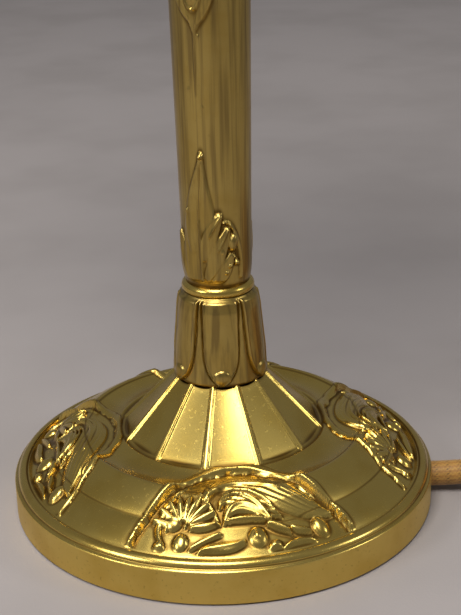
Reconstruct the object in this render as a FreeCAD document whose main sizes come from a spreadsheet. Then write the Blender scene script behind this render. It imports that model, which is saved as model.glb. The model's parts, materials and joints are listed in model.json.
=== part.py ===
import FreeCAD, Part
import math
import os
import Sketcher
from FreeCAD import Placement, Rotation, Vector

# Torchiere table lamp: a cast brass foot and stem around one threaded rod, an uplighter bowl of opal glass
# held by three thumbscrews, an E14 lampholder and bulb, and a braided mains cord with a switch and a plug.
# Millimetres, +Z up. The origin is the centre of the felt pad's underside, on the lamp's axis.
# Azimuths are measured from -Y towards +X, seen from above, so 0 is the front and 90 is the right.

# ------------------------------------------------------------------ driving dimensions
DIMENSIONS = {
    # foot
    "foot_radius": 65.0,
    "foot_lift": 0.5,
    "rim_top": 10.7,
    "rim_wall": 4.0,
    "rim_step_wall": 2.5,
    "ring_crown": 12.8,
    "dome_edge": "=foot_radius - 4",
    "terrace_radius": "=foot_radius - 12.4",
    "terrace_height": 18.1,
    "crest_radius": "=foot_radius - 21.2",
    "crest_height": 24.5,
    "cone_foot_radius": "=foot_radius - 33.8",
    "cone_foot_height": 23.8,
    "cone_top_radius": 13.9,
    "cone_top_height": 42.0,
    "casting_wall": 5.0,
    "ledge_width": 11.0,
    "flute_count": 12,
    "flute_depth": 1.5,
    "flute_foot_width": 13.4,
    "flute_top_width": 5.2,
    "cartouche_count": 4,
    "cartouche_half_width": 33.0,
    "cartouche_reach": 27.0,
    "cartouche_line": "=foot_radius - 5",
    "border_width": 1.6,
    "border_rise": 1.0,
    # inside the foot
    "weight_thickness": 5.6,
    "weight_eye": 16.0,
    "cable_slot": 8.0,
    "plate_thickness": 0.8,
    "felt_thickness": 1.0,
    # axis
    "rod_radius": 5.0,
    "rod_bore": 3.5,
    "rod_clearance": 0.2,
    "rod_bottom": 26.0,
    "nut_across_flats": 14.0,
    "nut_height": 5.0,
    "washer_thickness": 1.6,
    "washer_radius": 9.5,
    # column
    "collar_height": 27.0,
    "collar_waist": 11.9,
    "collar_recess": 3.0,
    "astragal_height": 3.6,
    "astragal_radius": 10.1,
    "astragal_round": 1.3,
    "neck_height": 2.4,
    "neck_radius": 9.3,
    "stem_height": 196.0,
    "stem_foot_radius": 10.4,
    "stem_top_radius": 13.2,
    "stem_wall": 2.6,
    "capital_height": 16.0,
    "capital_radius": 20.0,
    # gallery and glass
    "gallery_plate": 2.0,
    "gallery_height": 16.0,
    "gallery_wall": 2.0,
    "gallery_gap": 1.4,
    "rod_top": "=cone_top_height + collar_height - collar_recess + astragal_height + neck_height"
    " + stem_height + capital_height + gallery_height",
    "glass_neck_radius": 28.5,
    "glass_neck_height": 14.0,
    "glass_wall": 3.0,
    "glass_radius": 80.0,
    "glass_height": 106.0,
    "glass_belly_radius": 64.0,
    "glass_belly_height": 42.0,
    "screw_count": 3,
    "screw_radius": 1.5,
    "screw_height": 10.5,
    "screw_tip_gap": 0.3,
    "screw_head_radius": 3.6,
    "screw_head_length": 5.0,
    "screw_stand_off": 5.0,
    # lampholder and bulb
    "holder_radius": 14.0,
    "holder_cap_height": 12.0,
    "holder_shell_height": 22.0,
    "holder_wall": 1.4,
    "bulb_cap_radius": 6.9,
    "bulb_cap_height": 24.0,
    "bulb_radius": 22.5,
    "bulb_height": 55.0,
    "bulb_wall": 0.8,
    # cord
    "cord_radius": 4.0,
    "cord_height": 5.1,
    "bushing_wall": 0.8,
    "cable_radius": 3.0,
    "cable_bend": 18.0,
    "coil_radius": 47.0,
    "coil_width": 30.0,
    # switch
    "switch_start": "=foot_radius + 20",
    "switch_length": 50.0,
    "switch_width": 22.0,
    "switch_height": 14.0,
    "button_length": 9.0,
    "button_width": 7.0,
    "button_rise": 2.0,
    "button_travel": 4.0,
    # plug
    "plug_length": 32.0,
    "plug_width": 34.0,
    "plug_height": 14.0,
    "plug_nose_length": 22.0,
    "pin_radius": 2.0,
    "pin_length": 19.0,
    "pin_spacing": 18.6,
    # fits
    "running_fit": 0.05,
    "loose_fit": 0.3,
}

CORD_AZIMUTH = 82.0  # where the cord leaves the foot
SCREW_AZIMUTH = 30.0  # of the first thumbscrew
QUARTER_BOW = 1 - math.cos(math.pi / 4)  # how far a quarter circle of radius 1 bows from its chord

doc = FreeCAD.newDocument("torchiere")
sheet = doc.addObject("Spreadsheet::Sheet", "dims")
for row, (alias, number) in enumerate(DIMENSIONS.items(), start=1):
    sheet.set(f"A{row}", alias)
    sheet.set(f"B{row}", str(number))
    sheet.setAlias(f"B{row}", alias)
doc.recompute()


class Size:
    """A length that knows both its value and the spreadsheet expression that gives it."""

    def __init__(self, value, text):
        self.value = float(value)
        self.text = text

    def __add__(self, other):
        other = as_size(other)
        return Size(self.value + other.value, f"({self.text} + {other.text})")

    def __sub__(self, other):
        other = as_size(other)
        return Size(self.value - other.value, f"({self.text} - {other.text})")

    def __mul__(self, other):
        other = as_size(other)
        return Size(self.value * other.value, f"({self.text} * {other.text})")

    def __truediv__(self, other):
        other = as_size(other)
        return Size(self.value / other.value, f"({self.text} / {other.text})")

    def __neg__(self):
        return Size(-self.value, f"(0 - {self.text})")

    def __radd__(self, other):
        return as_size(other) + self

    def __rsub__(self, other):
        return as_size(other) - self

    def __rmul__(self, other):
        return as_size(other) * self


def as_size(number):
    if isinstance(number, Size):
        return number
    text = f"{float(number):.9f}"
    return Size(number, f"({text})")


def size(alias):
    return Size(sheet.get(alias), f"dims.{alias}")


def around(azimuth):
    """The unit vector that points outwards at an azimuth."""
    a = math.radians(azimuth)
    return Vector(math.sin(a), -math.cos(a), 0)


# ------------------------------------------------------------------ modelling helpers
nodes = []


def keep(feature, name):
    feature.Label = name
    nodes.append(feature)
    return feature


def new_body(name):
    return keep(doc.addObject("PartDesign::Body", name + "_body"), name)


def new_sketch(body, name, role, level=None):
    """An empty sketch on one of the body's origin planes, raised by level."""
    sketch = body.newObject("Sketcher::SketchObject", name)
    plane = next(f for f in body.Origin.OriginFeatures if f.Role == role)
    sketch.AttachmentSupport = [(plane, "")]
    sketch.MapMode = "FlatFace"
    if level is not None:
        sketch.setExpression(".AttachmentOffset.Base.z", as_size(level).text)
    return sketch


def pin(sketch, index, end, x, y):
    """Ties one end of a sketch line to a place measured from the sketch's origin."""
    for kind, axis, distance in (("DistanceX", -2, x), ("DistanceY", -1, y)):
        distance = as_size(distance)
        if abs(distance.value) < 1e-9:
            sketch.addConstraint(Sketcher.Constraint("PointOnObject", index, end, axis))
            continue
        ends = (-1, 1, index, end) if distance.value > 0 else (index, end, -1, 1)
        measure = distance if distance.value > 0 else -distance
        c = sketch.addConstraint(Sketcher.Constraint(kind, *ends, measure.value))
        sketch.setExpression(f"Constraints[{c}]", measure.text)


def draw(sketch, corners):
    """A closed outline. A corner is (x, y), or (x, y, bow) where the edge to the next corner is an arc that bows
    by that much to the left of the way from one to the other (negative: to the right)."""
    first = sketch.GeometryCount
    values = [(as_size(c[0]).value, as_size(c[1]).value) for c in corners]
    count = len(corners)
    bows = [as_size(c[2]) if len(c) == 3 else None for c in corners]
    starts = [2 if bow and bow.value > 0 else 1 for bow in bows]  # an arc's own ends run anticlockwise
    for i, bow in enumerate(bows):
        start, finish = Vector(*values[i], 0), Vector(*values[(i + 1) % count], 0)
        if bow is None:
            sketch.addGeometry(Part.LineSegment(start, finish), False)
            continue
        along = finish - start
        middle = (start + finish) * 0.5 + Vector(-along.y, along.x, 0).normalize() * bow.value
        ends = (finish, middle, start) if bow.value > 0 else (start, middle, finish)
        sketch.addGeometry(Part.Arc(*ends), False)
    for i, bow in enumerate(bows):
        index, following = first + i, (i + 1) % count
        sketch.addConstraint(Sketcher.Constraint("Coincident", index, 3 - starts[i], first + following, starts[following]))
        pin(sketch, index, starts[i], corners[i][0], corners[i][1])
        if bow is None:
            continue
        across, rise = (as_size(corners[following][k]) - corners[i][k] for k in (0, 1))
        depth = bow if bow.value > 0 else -bow
        radius = ((across * across + rise * rise) / 4 + depth * depth) / (2 * depth)
        c = sketch.addConstraint(Sketcher.Constraint("Radius", index, radius.value))
        sketch.setExpression(f"Constraints[{c}]", radius.text)


def draw_circle(sketch, x, y, radius):
    radius = as_size(radius)
    centre = Vector(as_size(x).value, as_size(y).value, 0)
    index = sketch.addGeometry(Part.Circle(centre, Vector(0, 0, 1), radius.value), False)
    pin(sketch, index, 3, x, y)
    c = sketch.addConstraint(Sketcher.Constraint("Radius", index, radius.value))
    sketch.setExpression(f"Constraints[{c}]", radius.text)


def turn(body, name, corners):
    """A solid of revolution about Z from an outline of (radius, height) corners."""
    sketch = new_sketch(body, name + "_outline", "XZ_Plane")
    draw(sketch, corners)
    feature = body.newObject("PartDesign::Revolution", name)
    feature.Profile = sketch
    feature.ReferenceAxis = (sketch, ["V_Axis"])
    feature.Angle = 360
    doc.recompute()
    return feature


def extrude(kind, body, name, sketch, length, reverse=False, both_ways=False):
    """A pad upwards or a pocket downwards, unless it is reversed. A pocket that takes nothing away stops the build."""
    before = body.Shape.Volume if kind == "Pocket" else 0
    feature = body.newObject("PartDesign::" + kind, name)
    feature.Profile = sketch
    feature.setExpression("Length", as_size(length).text)
    feature.Reversed = reverse
    feature.Midplane = both_ways
    doc.recompute()
    if kind == "Pocket" and not body.Shape.Volume < before - 1e-3:
        raise RuntimeError(f"{name} cuts nothing")
    return feature


def repeat(body, name, feature, count):
    """The feature again, evenly about Z."""
    pattern = body.newObject("PartDesign::PolarPattern", name)
    pattern.Originals = [feature]
    axis = next(f for f in body.Origin.OriginFeatures if f.Role == "Z_Axis")
    pattern.Axis = (axis, [""])
    pattern.Angle = 360
    pattern.setExpression("Occurrences", as_size(count).text)
    body.Tip = pattern
    doc.recompute()
    return pattern


def washer(name, inner, outer, bottom, top):
    body = new_body(name)
    turn(body, name + "_turned", [(inner, bottom), (outer, bottom), (outer, top), (inner, top)])
    return body


def place_at(feature, azimuth, distance=0.0, height=0.0, heading=None):
    """Sets a placement at an azimuth and distance from the axis, its local X pointing outwards there."""
    turn_by = heading if heading is not None else azimuth - 90
    feature.Placement = Placement(around(azimuth) * distance + Vector(0, 0, height), Rotation(Vector(0, 0, 1), turn_by))


# ------------------------------------------------------------------ shared sizes
foot_radius = size("foot_radius")
rim_inside = foot_radius - size("rim_wall")
step_inside = foot_radius - size("rim_step_wall")
plate_top = size("felt_thickness") + size("plate_thickness")
weight_bottom = plate_top + 1.2
ledge_height = weight_bottom + size("weight_thickness")
ledge_inside = rim_inside - size("ledge_width")
rod_hole = size("rod_radius") + size("rod_clearance")
cone_top = size("cone_top_height")
collar_top = cone_top + size("collar_height")
astragal_bottom = collar_top - size("collar_recess")
astragal_top = astragal_bottom + size("astragal_height")
neck_top = astragal_top + size("neck_height")
stem_top = neck_top + size("stem_height")
capital_top = stem_top + size("capital_height")
gallery_floor = capital_top + size("gallery_plate")
glass_bottom = gallery_floor
top_nut_top = gallery_floor + size("nut_height") - 1
holder_cap_top = top_nut_top + size("holder_cap_height")
holder_top = holder_cap_top + size("holder_shell_height")
cord_height = size("cord_height")


# ------------------------------------------------------------------ foot
def foot_shell():
    """The hollow turned foot: rim band, torus ring, stepped dome, shallow ring and cone."""
    body = doc.addObject("PartDesign::Body", "foot_shell")
    rim = size("rim_top")
    crown = size("ring_crown")
    dome = size("dome_edge")
    terrace, terrace_top = size("terrace_radius"), size("terrace_height")
    crest, crest_top = size("crest_radius"), size("crest_height")
    cone_foot, cone_base = size("cone_foot_radius"), size("cone_foot_height")
    wall = size("casting_wall")
    groove = foot_radius - 1.1
    seat = cone_top - wall - 1
    turn(body, "foot_turned", [
        (foot_radius, size("foot_lift")),
        (foot_radius, rim - 0.4),
        (foot_radius - 0.4, rim),
        (groove, rim + 0.3),
        (groove, rim + 0.8, -0.35),
        (groove - 2.5, crown),
        (dome + 0.3, crown - 0.5),
        (dome - 0.4, crown + 0.1, -0.5),
        (terrace, terrace_top),
        (terrace - 0.5, terrace_top + 0.5, -0.3),
        (crest, crest_top),
        (crest - 0.8, crest_top - 0.1),
        (crest - 1.6, crest_top - 0.5, 0.25),
        (cone_foot + 2.2, cone_base + 0.1),
        (cone_foot + 1.0, cone_base + 0.6),
        (cone_foot, cone_base),
        (size("cone_top_radius"), cone_top),
        (rod_hole, cone_top),
        (rod_hole, seat),
        (size("washer_radius") + 1.5, seat),
        (cone_foot - wall + 1.8, crest_top - wall),
        (crest - 2.8, crest_top - wall),
        (ledge_inside, ledge_height + 4),
        (ledge_inside, ledge_height),
        (rim_inside, ledge_height),
        (rim_inside, plate_top),
        (step_inside, plate_top),
        (step_inside, size("foot_lift")),
    ])
    return body


def cut_flutes(body):
    """Tapered hollows down the cone, with thin fillets left standing between them."""
    foot_r, foot_z = size("cone_foot_radius"), size("cone_foot_height")
    top_r = size("cone_top_radius")
    run = foot_r.value - top_r.value
    rise = cone_top.value - foot_z.value
    slope = math.hypot(run, rise)
    out_r, out_z = rise / slope, run / slope
    depth = size("flute_depth").value

    def hollow_radius(width, deep):
        return (width * width / 4 + deep * deep) / (2 * deep)

    wide = hollow_radius(size("flute_foot_width").value, depth)
    narrow = hollow_radius(size("flute_top_width").value, 0.75 * depth)
    start = 0.05
    foot = (foot_r - start * run, foot_z + start * rise)
    low = (foot[0] + out_r * (wide - depth), foot[1] + out_z * (wide - depth))
    high = (top_r + out_r * (narrow - 0.75 * depth), cone_top + out_z * (narrow - 0.75 * depth))
    sketch = new_sketch(body, "flute_outline", "XZ_Plane")
    draw(sketch, [
        (low[0], low[1]),
        (high[0], high[1]),
        (high[0] - out_r * narrow, high[1] - out_z * narrow),
        (low[0] - out_r * wide, low[1] - out_z * wide),
    ])
    before = body.Shape.Volume
    flute = body.newObject("PartDesign::Groove", "flute")
    flute.Profile = sketch
    flute.ReferenceAxis = (sketch, ["Edge1"])
    flute.Angle = 360
    doc.recompute()
    repeat(body, "flutes", flute, size("flute_count"))
    if not body.Shape.Volume < before - 1:
        raise RuntimeError("the flutes cut nothing")


def cartouche_borders():
    """Four raised D-shaped borders on the dome, as far above it as border_rise."""
    rise = size("border_rise")
    dome = size("dome_edge")
    terrace, terrace_top = size("terrace_radius"), size("terrace_height")
    crest, crest_top = size("crest_radius"), size("crest_height")
    layer = doc.addObject("PartDesign::Body", "border_layer")
    turn(layer, "border_layer_turned", [
        (dome, size("ring_crown") - 2),
        (dome, size("ring_crown") + rise, -0.5),
        (terrace, terrace_top + rise),
        (terrace - 0.5, terrace_top + 0.5 + rise, -0.3),
        (crest, crest_top + rise),
        (size("cone_foot_radius") + 1.6, crest_top - 0.2 + rise),
        (size("cone_foot_radius") + 1.6, crest_top - 3),
        (crest, crest_top - 2),
    ])
    outline = doc.addObject("PartDesign::Body", "border_outline")
    half, reach = size("cartouche_half_width"), size("cartouche_reach")
    line, band = size("cartouche_line"), size("border_width")
    sketch = new_sketch(outline, "border_rings", "XY_Plane")

    def arch(half, reach, line):
        """A flat side along the rim, straight shoulders and a round head towards the axis."""
        draw(sketch, [
            (-half, -line, 3.0),
            (half * -0.78, -line + reach * 0.62, 4.5),
            (half * -0.001, -line + reach, 4.5),
            (half * 0.78, -line + reach * 0.62, 3.0),
            (half, -line),
        ])

    arch(half, reach, line)
    arch(half - band, reach - band * 2, line - band)
    ring = extrude("Pad", outline, "border_prism", sketch, crest_top + 10)
    repeat(outline, "border_prisms", ring, size("cartouche_count"))
    borders = doc.addObject("Part::MultiCommon", "borders")
    borders.Shapes = [layer, outline]
    doc.recompute()
    return borders


def outward_cylinder(name, radius, start, length, azimuth, level):
    """A cylinder that points outwards at an azimuth, from start to start + length from the axis."""
    cylinder = doc.addObject("Part::Cylinder", name)
    cylinder.setExpression("Radius", as_size(radius).text)
    cylinder.setExpression("Height", as_size(length).text)
    out = around(azimuth)
    spot = out * as_size(start).value + Vector(0, 0, as_size(level).value)
    cylinder.Placement = Placement(spot, Rotation(Vector(0, 0, 1), out))
    return cylinder


bushing_radius = size("cord_radius") + size("bushing_wall")
bushing_start = step_inside + 0.1
bushing_length = size("rim_step_wall") - 0.3


def foot_casting():
    shell = foot_shell()
    cut_flutes(shell)
    whole = doc.addObject("Part::MultiFuse", "foot_whole")
    whole.Shapes = [shell, cartouche_borders()]
    notch_radius = bushing_radius + size("running_fit")
    notch = outward_cylinder("notch", notch_radius, rim_inside - 1, size("rim_wall") + 2, CORD_AZIMUTH, cord_height)
    passages = doc.addObject("Part::MultiFuse", "foot_passages")
    passages.Shapes = [notch, *weight_screw_shanks("foot_holes", size("running_fit"))]
    casting = doc.addObject("Part::Cut", "foot_cut")
    casting.Base = whole
    casting.Tool = passages
    return keep(casting, "foot_casting")


def weight_screw_shanks(name, spare):
    """Three M3 shanks up through the weight into the foot's ledge."""
    shanks = []
    for i in range(3):
        shank = doc.addObject("Part::Cylinder", f"{name}_{i}")
        shank.setExpression("Radius", (1.5 + spare).text)
        shank.setExpression("Height", (size("weight_thickness") + 4 + spare).text)
        spot = around(30 + 120 * i) * (ledge_inside.value + rim_inside.value) * 0.5
        shank.Placement = Placement(spot + Vector(0, 0, weight_bottom.value), Rotation())
        shanks.append(shank)
    return shanks


def weight_screws():
    pieces = weight_screw_shanks("weight_shank", Size(0, "0"))
    for i in range(3):
        head = doc.addObject("Part::Cylinder", f"weight_head_{i}")
        head.Radius = 2.8
        head.Height = 1.0
        spot = around(30 + 120 * i) * (ledge_inside.value + rim_inside.value) * 0.5
        head.Placement = Placement(spot + Vector(0, 0, weight_bottom.value - 1.0), Rotation())
        pieces.append(head)
    screws = doc.addObject("Part::MultiFuse", "weight_screws_fused")
    screws.Shapes = pieces
    return keep(screws, "weight_screws")


def foot_weight():
    """A cast-iron disc against the ledge, with an eye in the middle and a slot for the cable."""
    body = doc.addObject("PartDesign::Body", "weight_disc")
    turn(body, "weight_turned", [
        (size("weight_eye"), weight_bottom),
        (rim_inside - 0.5, weight_bottom),
        (rim_inside - 0.5, ledge_height),
        (size("weight_eye"), ledge_height),
    ])
    slot = doc.addObject("Part::Box", "weight_slot")
    slot.setExpression("Length", foot_radius.text)
    slot.setExpression("Width", size("cable_slot").text)
    slot.setExpression("Height", (ledge_height + 2).text)
    heading = Rotation(Vector(0, 0, 1), CORD_AZIMUTH - 90)
    slot.Placement = Placement(heading.multVec(Vector(0, -size("cable_slot").value / 2, 0)), heading)
    tools = doc.addObject("Part::MultiFuse", "weight_tools")
    tools.Shapes = [slot, *weight_screw_shanks("weight_holes", size("running_fit"))]
    weight = doc.addObject("Part::Cut", "weight_cut")
    weight.Base = body
    weight.Tool = tools
    return keep(weight, "foot_weight")


def cord_bushing():
    """The ring that lines the notch in the rim."""
    outer = outward_cylinder("bushing_outer", bushing_radius, bushing_start, bushing_length, CORD_AZIMUTH, cord_height)
    hole = size("cord_radius") + size("running_fit")
    bore = outward_cylinder("bushing_bore", hole, bushing_start - 1, bushing_length + 2, CORD_AZIMUTH, cord_height)
    ring = doc.addObject("Part::Cut", "bushing_ring")
    ring.Base = outer
    ring.Tool = bore
    return keep(ring, "cord_bushing")


def cord_clamp():
    """A bar across the weight's slot with a rib that presses on the cable."""
    body = new_body("cord_clamp")
    sketch = new_sketch(body, "clamp_outline", "XY_Plane", ledge_height)
    draw(sketch, [(-4, -12), (4, -12), (4, 12), (-4, 12)])
    extrude("Pad", body, "clamp_bar", sketch, 1.6)
    rib = new_sketch(body, "clamp_rib_outline", "XY_Plane", ledge_height)
    draw(rib, [(-2, -3), (2, -3), (2, 3), (-2, 3)])
    gap = ledge_height - cord_height - size("cable_radius") - size("running_fit")
    extrude("Pad", body, "clamp_rib", rib, gap, reverse=True)
    place_at(body, CORD_AZIMUTH, 38)
    return body


def clamp_screws():
    pieces = []
    for side in (-1, 1):
        head = doc.addObject("Part::Cylinder", "clamp_head")
        head.Radius = 2.6
        head.Height = 1.6
        sideways = Rotation(Vector(0, 0, 1), CORD_AZIMUTH - 90).multVec(Vector(0, 8.0 * side, 0))
        spot = around(CORD_AZIMUTH) * 38 + sideways + Vector(0, 0, ledge_height.value + 1.6)
        head.Placement = Placement(spot, Rotation())
        pieces.append(head)
    screws = doc.addObject("Part::MultiFuse", "clamp_screws_fused")
    screws.Shapes = pieces
    return keep(screws, "clamp_screws")


def inner_cable():
    """The cable's inner sheath: in from the bushing, round one bend and up the rod's bore."""
    bend = size("cable_bend").value
    top = holder_cap_top.value - 3
    out = around(CORD_AZIMUTH)
    up = Vector(0, 0, 1)
    low = up * cord_height.value
    start = out * (step_inside.value + 0.1) + low
    corner = out * bend + low
    middle = out * (bend - bend * math.sin(math.pi / 4)) + up * (cord_height.value + bend * (1 - math.cos(math.pi / 4)))
    foot_of_rise = up * (cord_height.value + bend)
    path = Part.Wire([
        Part.LineSegment(start, corner).toShape(),
        Part.Arc(corner, middle, foot_of_rise).toShape(),
        Part.LineSegment(foot_of_rise, up * top).toShape(),
    ])
    return swept(path, size("cable_radius").value, "inner_cable")


def swept(path, radius, name):
    """A round tube along a path of straight runs and tangent arcs."""
    first = path.Edges[0]
    start = first.valueAt(first.FirstParameter)
    heading = first.tangentAt(first.FirstParameter)
    profile = Part.Wire([Part.Circle(start, heading, radius).toShape()])
    tube = path.makePipeShell([profile], True, True)
    expected = math.pi * radius * radius * path.Length
    if abs(tube.Volume - expected) > 0.01 * expected:
        raise RuntimeError(f"{name}: volume {tube.Volume:.0f} is not section times length {expected:.0f}")
    feature = doc.addObject("Part::Feature", name + "_tube")
    feature.Shape = tube
    return keep(feature, name)


def hexagon(sketch, across_flats, hole):
    corner = size(across_flats) / math.sqrt(3)
    half = size(across_flats) / 2
    draw(sketch, [
        (corner, 0), (corner / 2, half), (-corner / 2, half),
        (-corner, 0), (-corner / 2, -half), (corner / 2, -half),
    ])
    draw_circle(sketch, 0, 0, hole)


def hex_nut(name, bottom, height):
    body = new_body(name)
    sketch = new_sketch(body, name + "_outline", "XY_Plane", bottom)
    hexagon(sketch, "nut_across_flats", size("rod_radius") + size("running_fit"))
    extrude("Pad", body, name + "_pad", sketch, height)
    return body


def axis_hardware():
    """The threaded tube that holds everything together, with its nuts and washer."""
    rod = new_body("threaded_rod")
    turn(rod, "rod_turned", [
        (size("rod_bore"), size("rod_bottom")),
        (size("rod_radius"), size("rod_bottom")),
        (size("rod_radius"), size("rod_top")),
        (size("rod_bore"), size("rod_top")),
    ])
    seat = cone_top - size("casting_wall") - 1
    under = seat - size("washer_thickness")
    washer("foot_washer", rod_hole, size("washer_radius"), under, seat)
    hex_nut("foot_nut", under - size("nut_height"), size("nut_height"))
    hex_nut("gallery_nut", gallery_floor, top_nut_top - gallery_floor)


def foot_underside():
    washer("foot_plate", 0, step_inside - 0.1, size("felt_thickness"), plate_top)
    washer("foot_felt", 0, step_inside - 0.2, 0, size("felt_thickness"))


# ------------------------------------------------------------------ column
def petal_collar():
    """The sleeve of upright petals that stands on the cone, with a recess in its top for the astragal."""
    body = new_body("petal_collar")
    waist = size("collar_waist")
    recess = size("astragal_radius") + 0.15
    turn(body, "collar_turned", [
        (rod_hole, cone_top),
        (size("cone_top_radius"), cone_top),
        (waist + 1.86, cone_top + 2.8),
        (waist + 1.32, cone_top + 9.4),
        (waist + 0.6, cone_top + 16),
        (waist, collar_top - 4.5),
        (waist - 0.65, collar_top - 1.2, -0.2),
        (recess + 0.3, collar_top),
        (recess, collar_top - 0.6),
        (recess, astragal_bottom),
        (rod_hole, astragal_bottom),
    ])
    return body


def astragal():
    """The half-round ring that shines in the collar's recess."""
    body = new_body("astragal")
    radius, rounding = size("astragal_radius"), size("astragal_round")
    middle = astragal_bottom + 1.9
    bow = QUARTER_BOW * rounding
    turn(body, "astragal_turned", [
        (rod_hole, astragal_bottom),
        (radius - rounding, astragal_bottom),
        (radius - rounding, middle - rounding, -bow),
        (radius, middle, -bow),
        (radius - rounding, middle + rounding),
        (radius - rounding, astragal_top),
        (rod_hole, astragal_top),
    ])
    return body


def neck_ring():
    """The spacer on which the stem stands."""
    washer("neck_ring", rod_hole, size("neck_radius"), astragal_top, neck_top)


def stem():
    """The cast column: it swells just above its foot and then widens slowly all the way up. It is hollow."""
    body = new_body("stem")
    foot, top, wall = size("stem_foot_radius"), size("stem_top_radius"), size("stem_wall")
    end = 6.0
    turn(body, "stem_turned", [
        (rod_hole, neck_top),
        (foot - 0.9, neck_top),
        (foot - 0.5, neck_top + 1.2, -0.15),
        (foot, neck_top + 8),
        (foot, neck_top + 18),
        (top, stem_top),
        (rod_hole, stem_top),
        (rod_hole, stem_top - end),
        (top - wall, stem_top - end),
        (foot - wall, neck_top + 18),
        (foot - wall, neck_top + end),
        (rod_hole, neck_top + end),
    ])
    return body


def capital():
    """The turned cap between the stem and the gallery."""
    body = new_body("stem_capital")
    top, flare = size("stem_top_radius"), size("capital_radius")
    turn(body, "capital_turned", [
        (rod_hole, stem_top),
        (top + 1.0, stem_top, -0.9),
        (top + 1.0, stem_top + 3.6),
        (top - 0.6, stem_top + 4.2, 1.6),
        (flare - 1.6, capital_top - 3),
        (flare, capital_top - 2.4, -0.4),
        (flare, capital_top),
        (rod_hole, capital_top),
    ])
    return body


# ------------------------------------------------------------------ gallery, glass and thumbscrews
glass_neck = size("glass_neck_radius")
gallery_inside = glass_neck + size("gallery_gap")
gallery_outside = gallery_inside + size("gallery_wall")
gallery_rim = capital_top + size("gallery_height")
screw_level = capital_top + size("screw_height")


def gallery():
    """The shallow cup that the glass stands in, with a boss for each thumbscrew."""
    body = doc.addObject("PartDesign::Body", "gallery_cup")
    turn(body, "gallery_turned", [
        (rod_hole, capital_top),
        (gallery_outside - 6, capital_top, -1.4),
        (gallery_outside, capital_top + 5),
        (gallery_outside, gallery_rim - 2),
        (gallery_outside + 0.8, gallery_rim - 1.4),
        (gallery_outside + 0.8, gallery_rim),
        (gallery_inside, gallery_rim),
        (gallery_inside, gallery_floor),
        (rod_hole, gallery_floor),
    ])
    bosses = []
    holes = []
    for i in range(int(size("screw_count").value)):
        azimuth = SCREW_AZIMUTH + i * 360 / size("screw_count").value
        boss, hole = size("screw_radius") + 1.9, size("screw_radius") + size("running_fit")
        wall = size("gallery_wall")
        bosses.append(outward_cylinder(f"boss_{i}", boss, gallery_inside + 0.6, wall + 0.6, azimuth, screw_level))
        holes.append(outward_cylinder(f"screw_hole_{i}", hole, gallery_inside - 2, wall + 6, azimuth, screw_level))
    whole = doc.addObject("Part::MultiFuse", "gallery_whole")
    whole.Shapes = [body, *bosses]
    bored = doc.addObject("Part::MultiFuse", "gallery_holes")
    bored.Shapes = holes
    cut = doc.addObject("Part::Cut", "gallery_cut")
    cut.Base = whole
    cut.Tool = bored
    return keep(cut, "gallery")


def thumbscrews():
    """Each has a shank that stops just short of the glass and a knurled head outside the gallery."""
    tip = glass_neck + size("screw_tip_gap")
    head = gallery_outside + size("screw_stand_off")
    end = head + size("screw_head_length")
    knurl = size("screw_head_radius")
    for i in range(int(size("screw_count").value)):
        body = new_body(f"thumbscrew_{i + 1}")
        turn(body, f"thumbscrew_turned_{i + 1}", [
            (0, tip), (size("screw_radius") - 0.4, tip), (size("screw_radius"), tip + 0.4),
            (size("screw_radius"), head - 1.2), (2.4, head - 1.2), (2.4, head), (knurl - 0.4, head),
            (knurl, head + 0.4), (knurl, end - 0.4), (knurl - 0.4, end), (0, end + 0.5),
        ])
        notch = new_sketch(body, f"knurl_outline_{i + 1}", "XY_Plane", head)
        draw_circle(notch, knurl + 0.25, 0, 0.5)
        cut = extrude("Pocket", body, f"knurl_{i + 1}", notch, size("screw_head_length") + 1, reverse=True)
        repeat(body, f"knurls_{i + 1}", cut, 16)
        azimuth = SCREW_AZIMUTH + i * 360 / size("screw_count").value
        out = Rotation(Vector(0, 0, 1), around(azimuth))
        body.Placement = Placement(Vector(0, 0, screw_level.value), out)


def glass_fitter():
    """The straight neck of the glass, which the thumbscrews hold."""
    washer("glass_fitter", glass_neck - size("glass_wall"), glass_neck, glass_bottom,
           glass_bottom + size("glass_neck_height"))


def glass_bowl():
    """The open bowl above its neck: it rises steeply, then opens to its rim."""
    body = new_body("glass_bowl")
    wall, rim = size("glass_wall"), size("glass_radius")
    shoulder = glass_bottom + size("glass_neck_height")
    belly, belly_top = size("glass_belly_radius"), glass_bottom + size("glass_belly_height")
    top = glass_bottom + size("glass_height")
    turn(body, "bowl_turned", [
        (glass_neck, shoulder),
        (glass_neck + 2, shoulder + 3.5, -7.0),
        (belly, belly_top, -1.6),
        (rim - 1.5, top - 2),
        (rim, top - 1.2, -0.9),
        (rim - wall + 0.4, top - 0.4),
        (rim - wall - 1.8, top - 2, 1.6),
        (belly - wall + 0.3, belly_top + 0.6, 7.0),
        (glass_neck - wall + 2.2, shoulder + 5.6),
        (glass_neck - wall, shoulder + 1),
        (glass_neck - wall, shoulder),
    ])
    return body


# ------------------------------------------------------------------ lampholder and bulb
holder = size("holder_radius")
thread_radius = size("bulb_cap_radius") + size("loose_fit")


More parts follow.
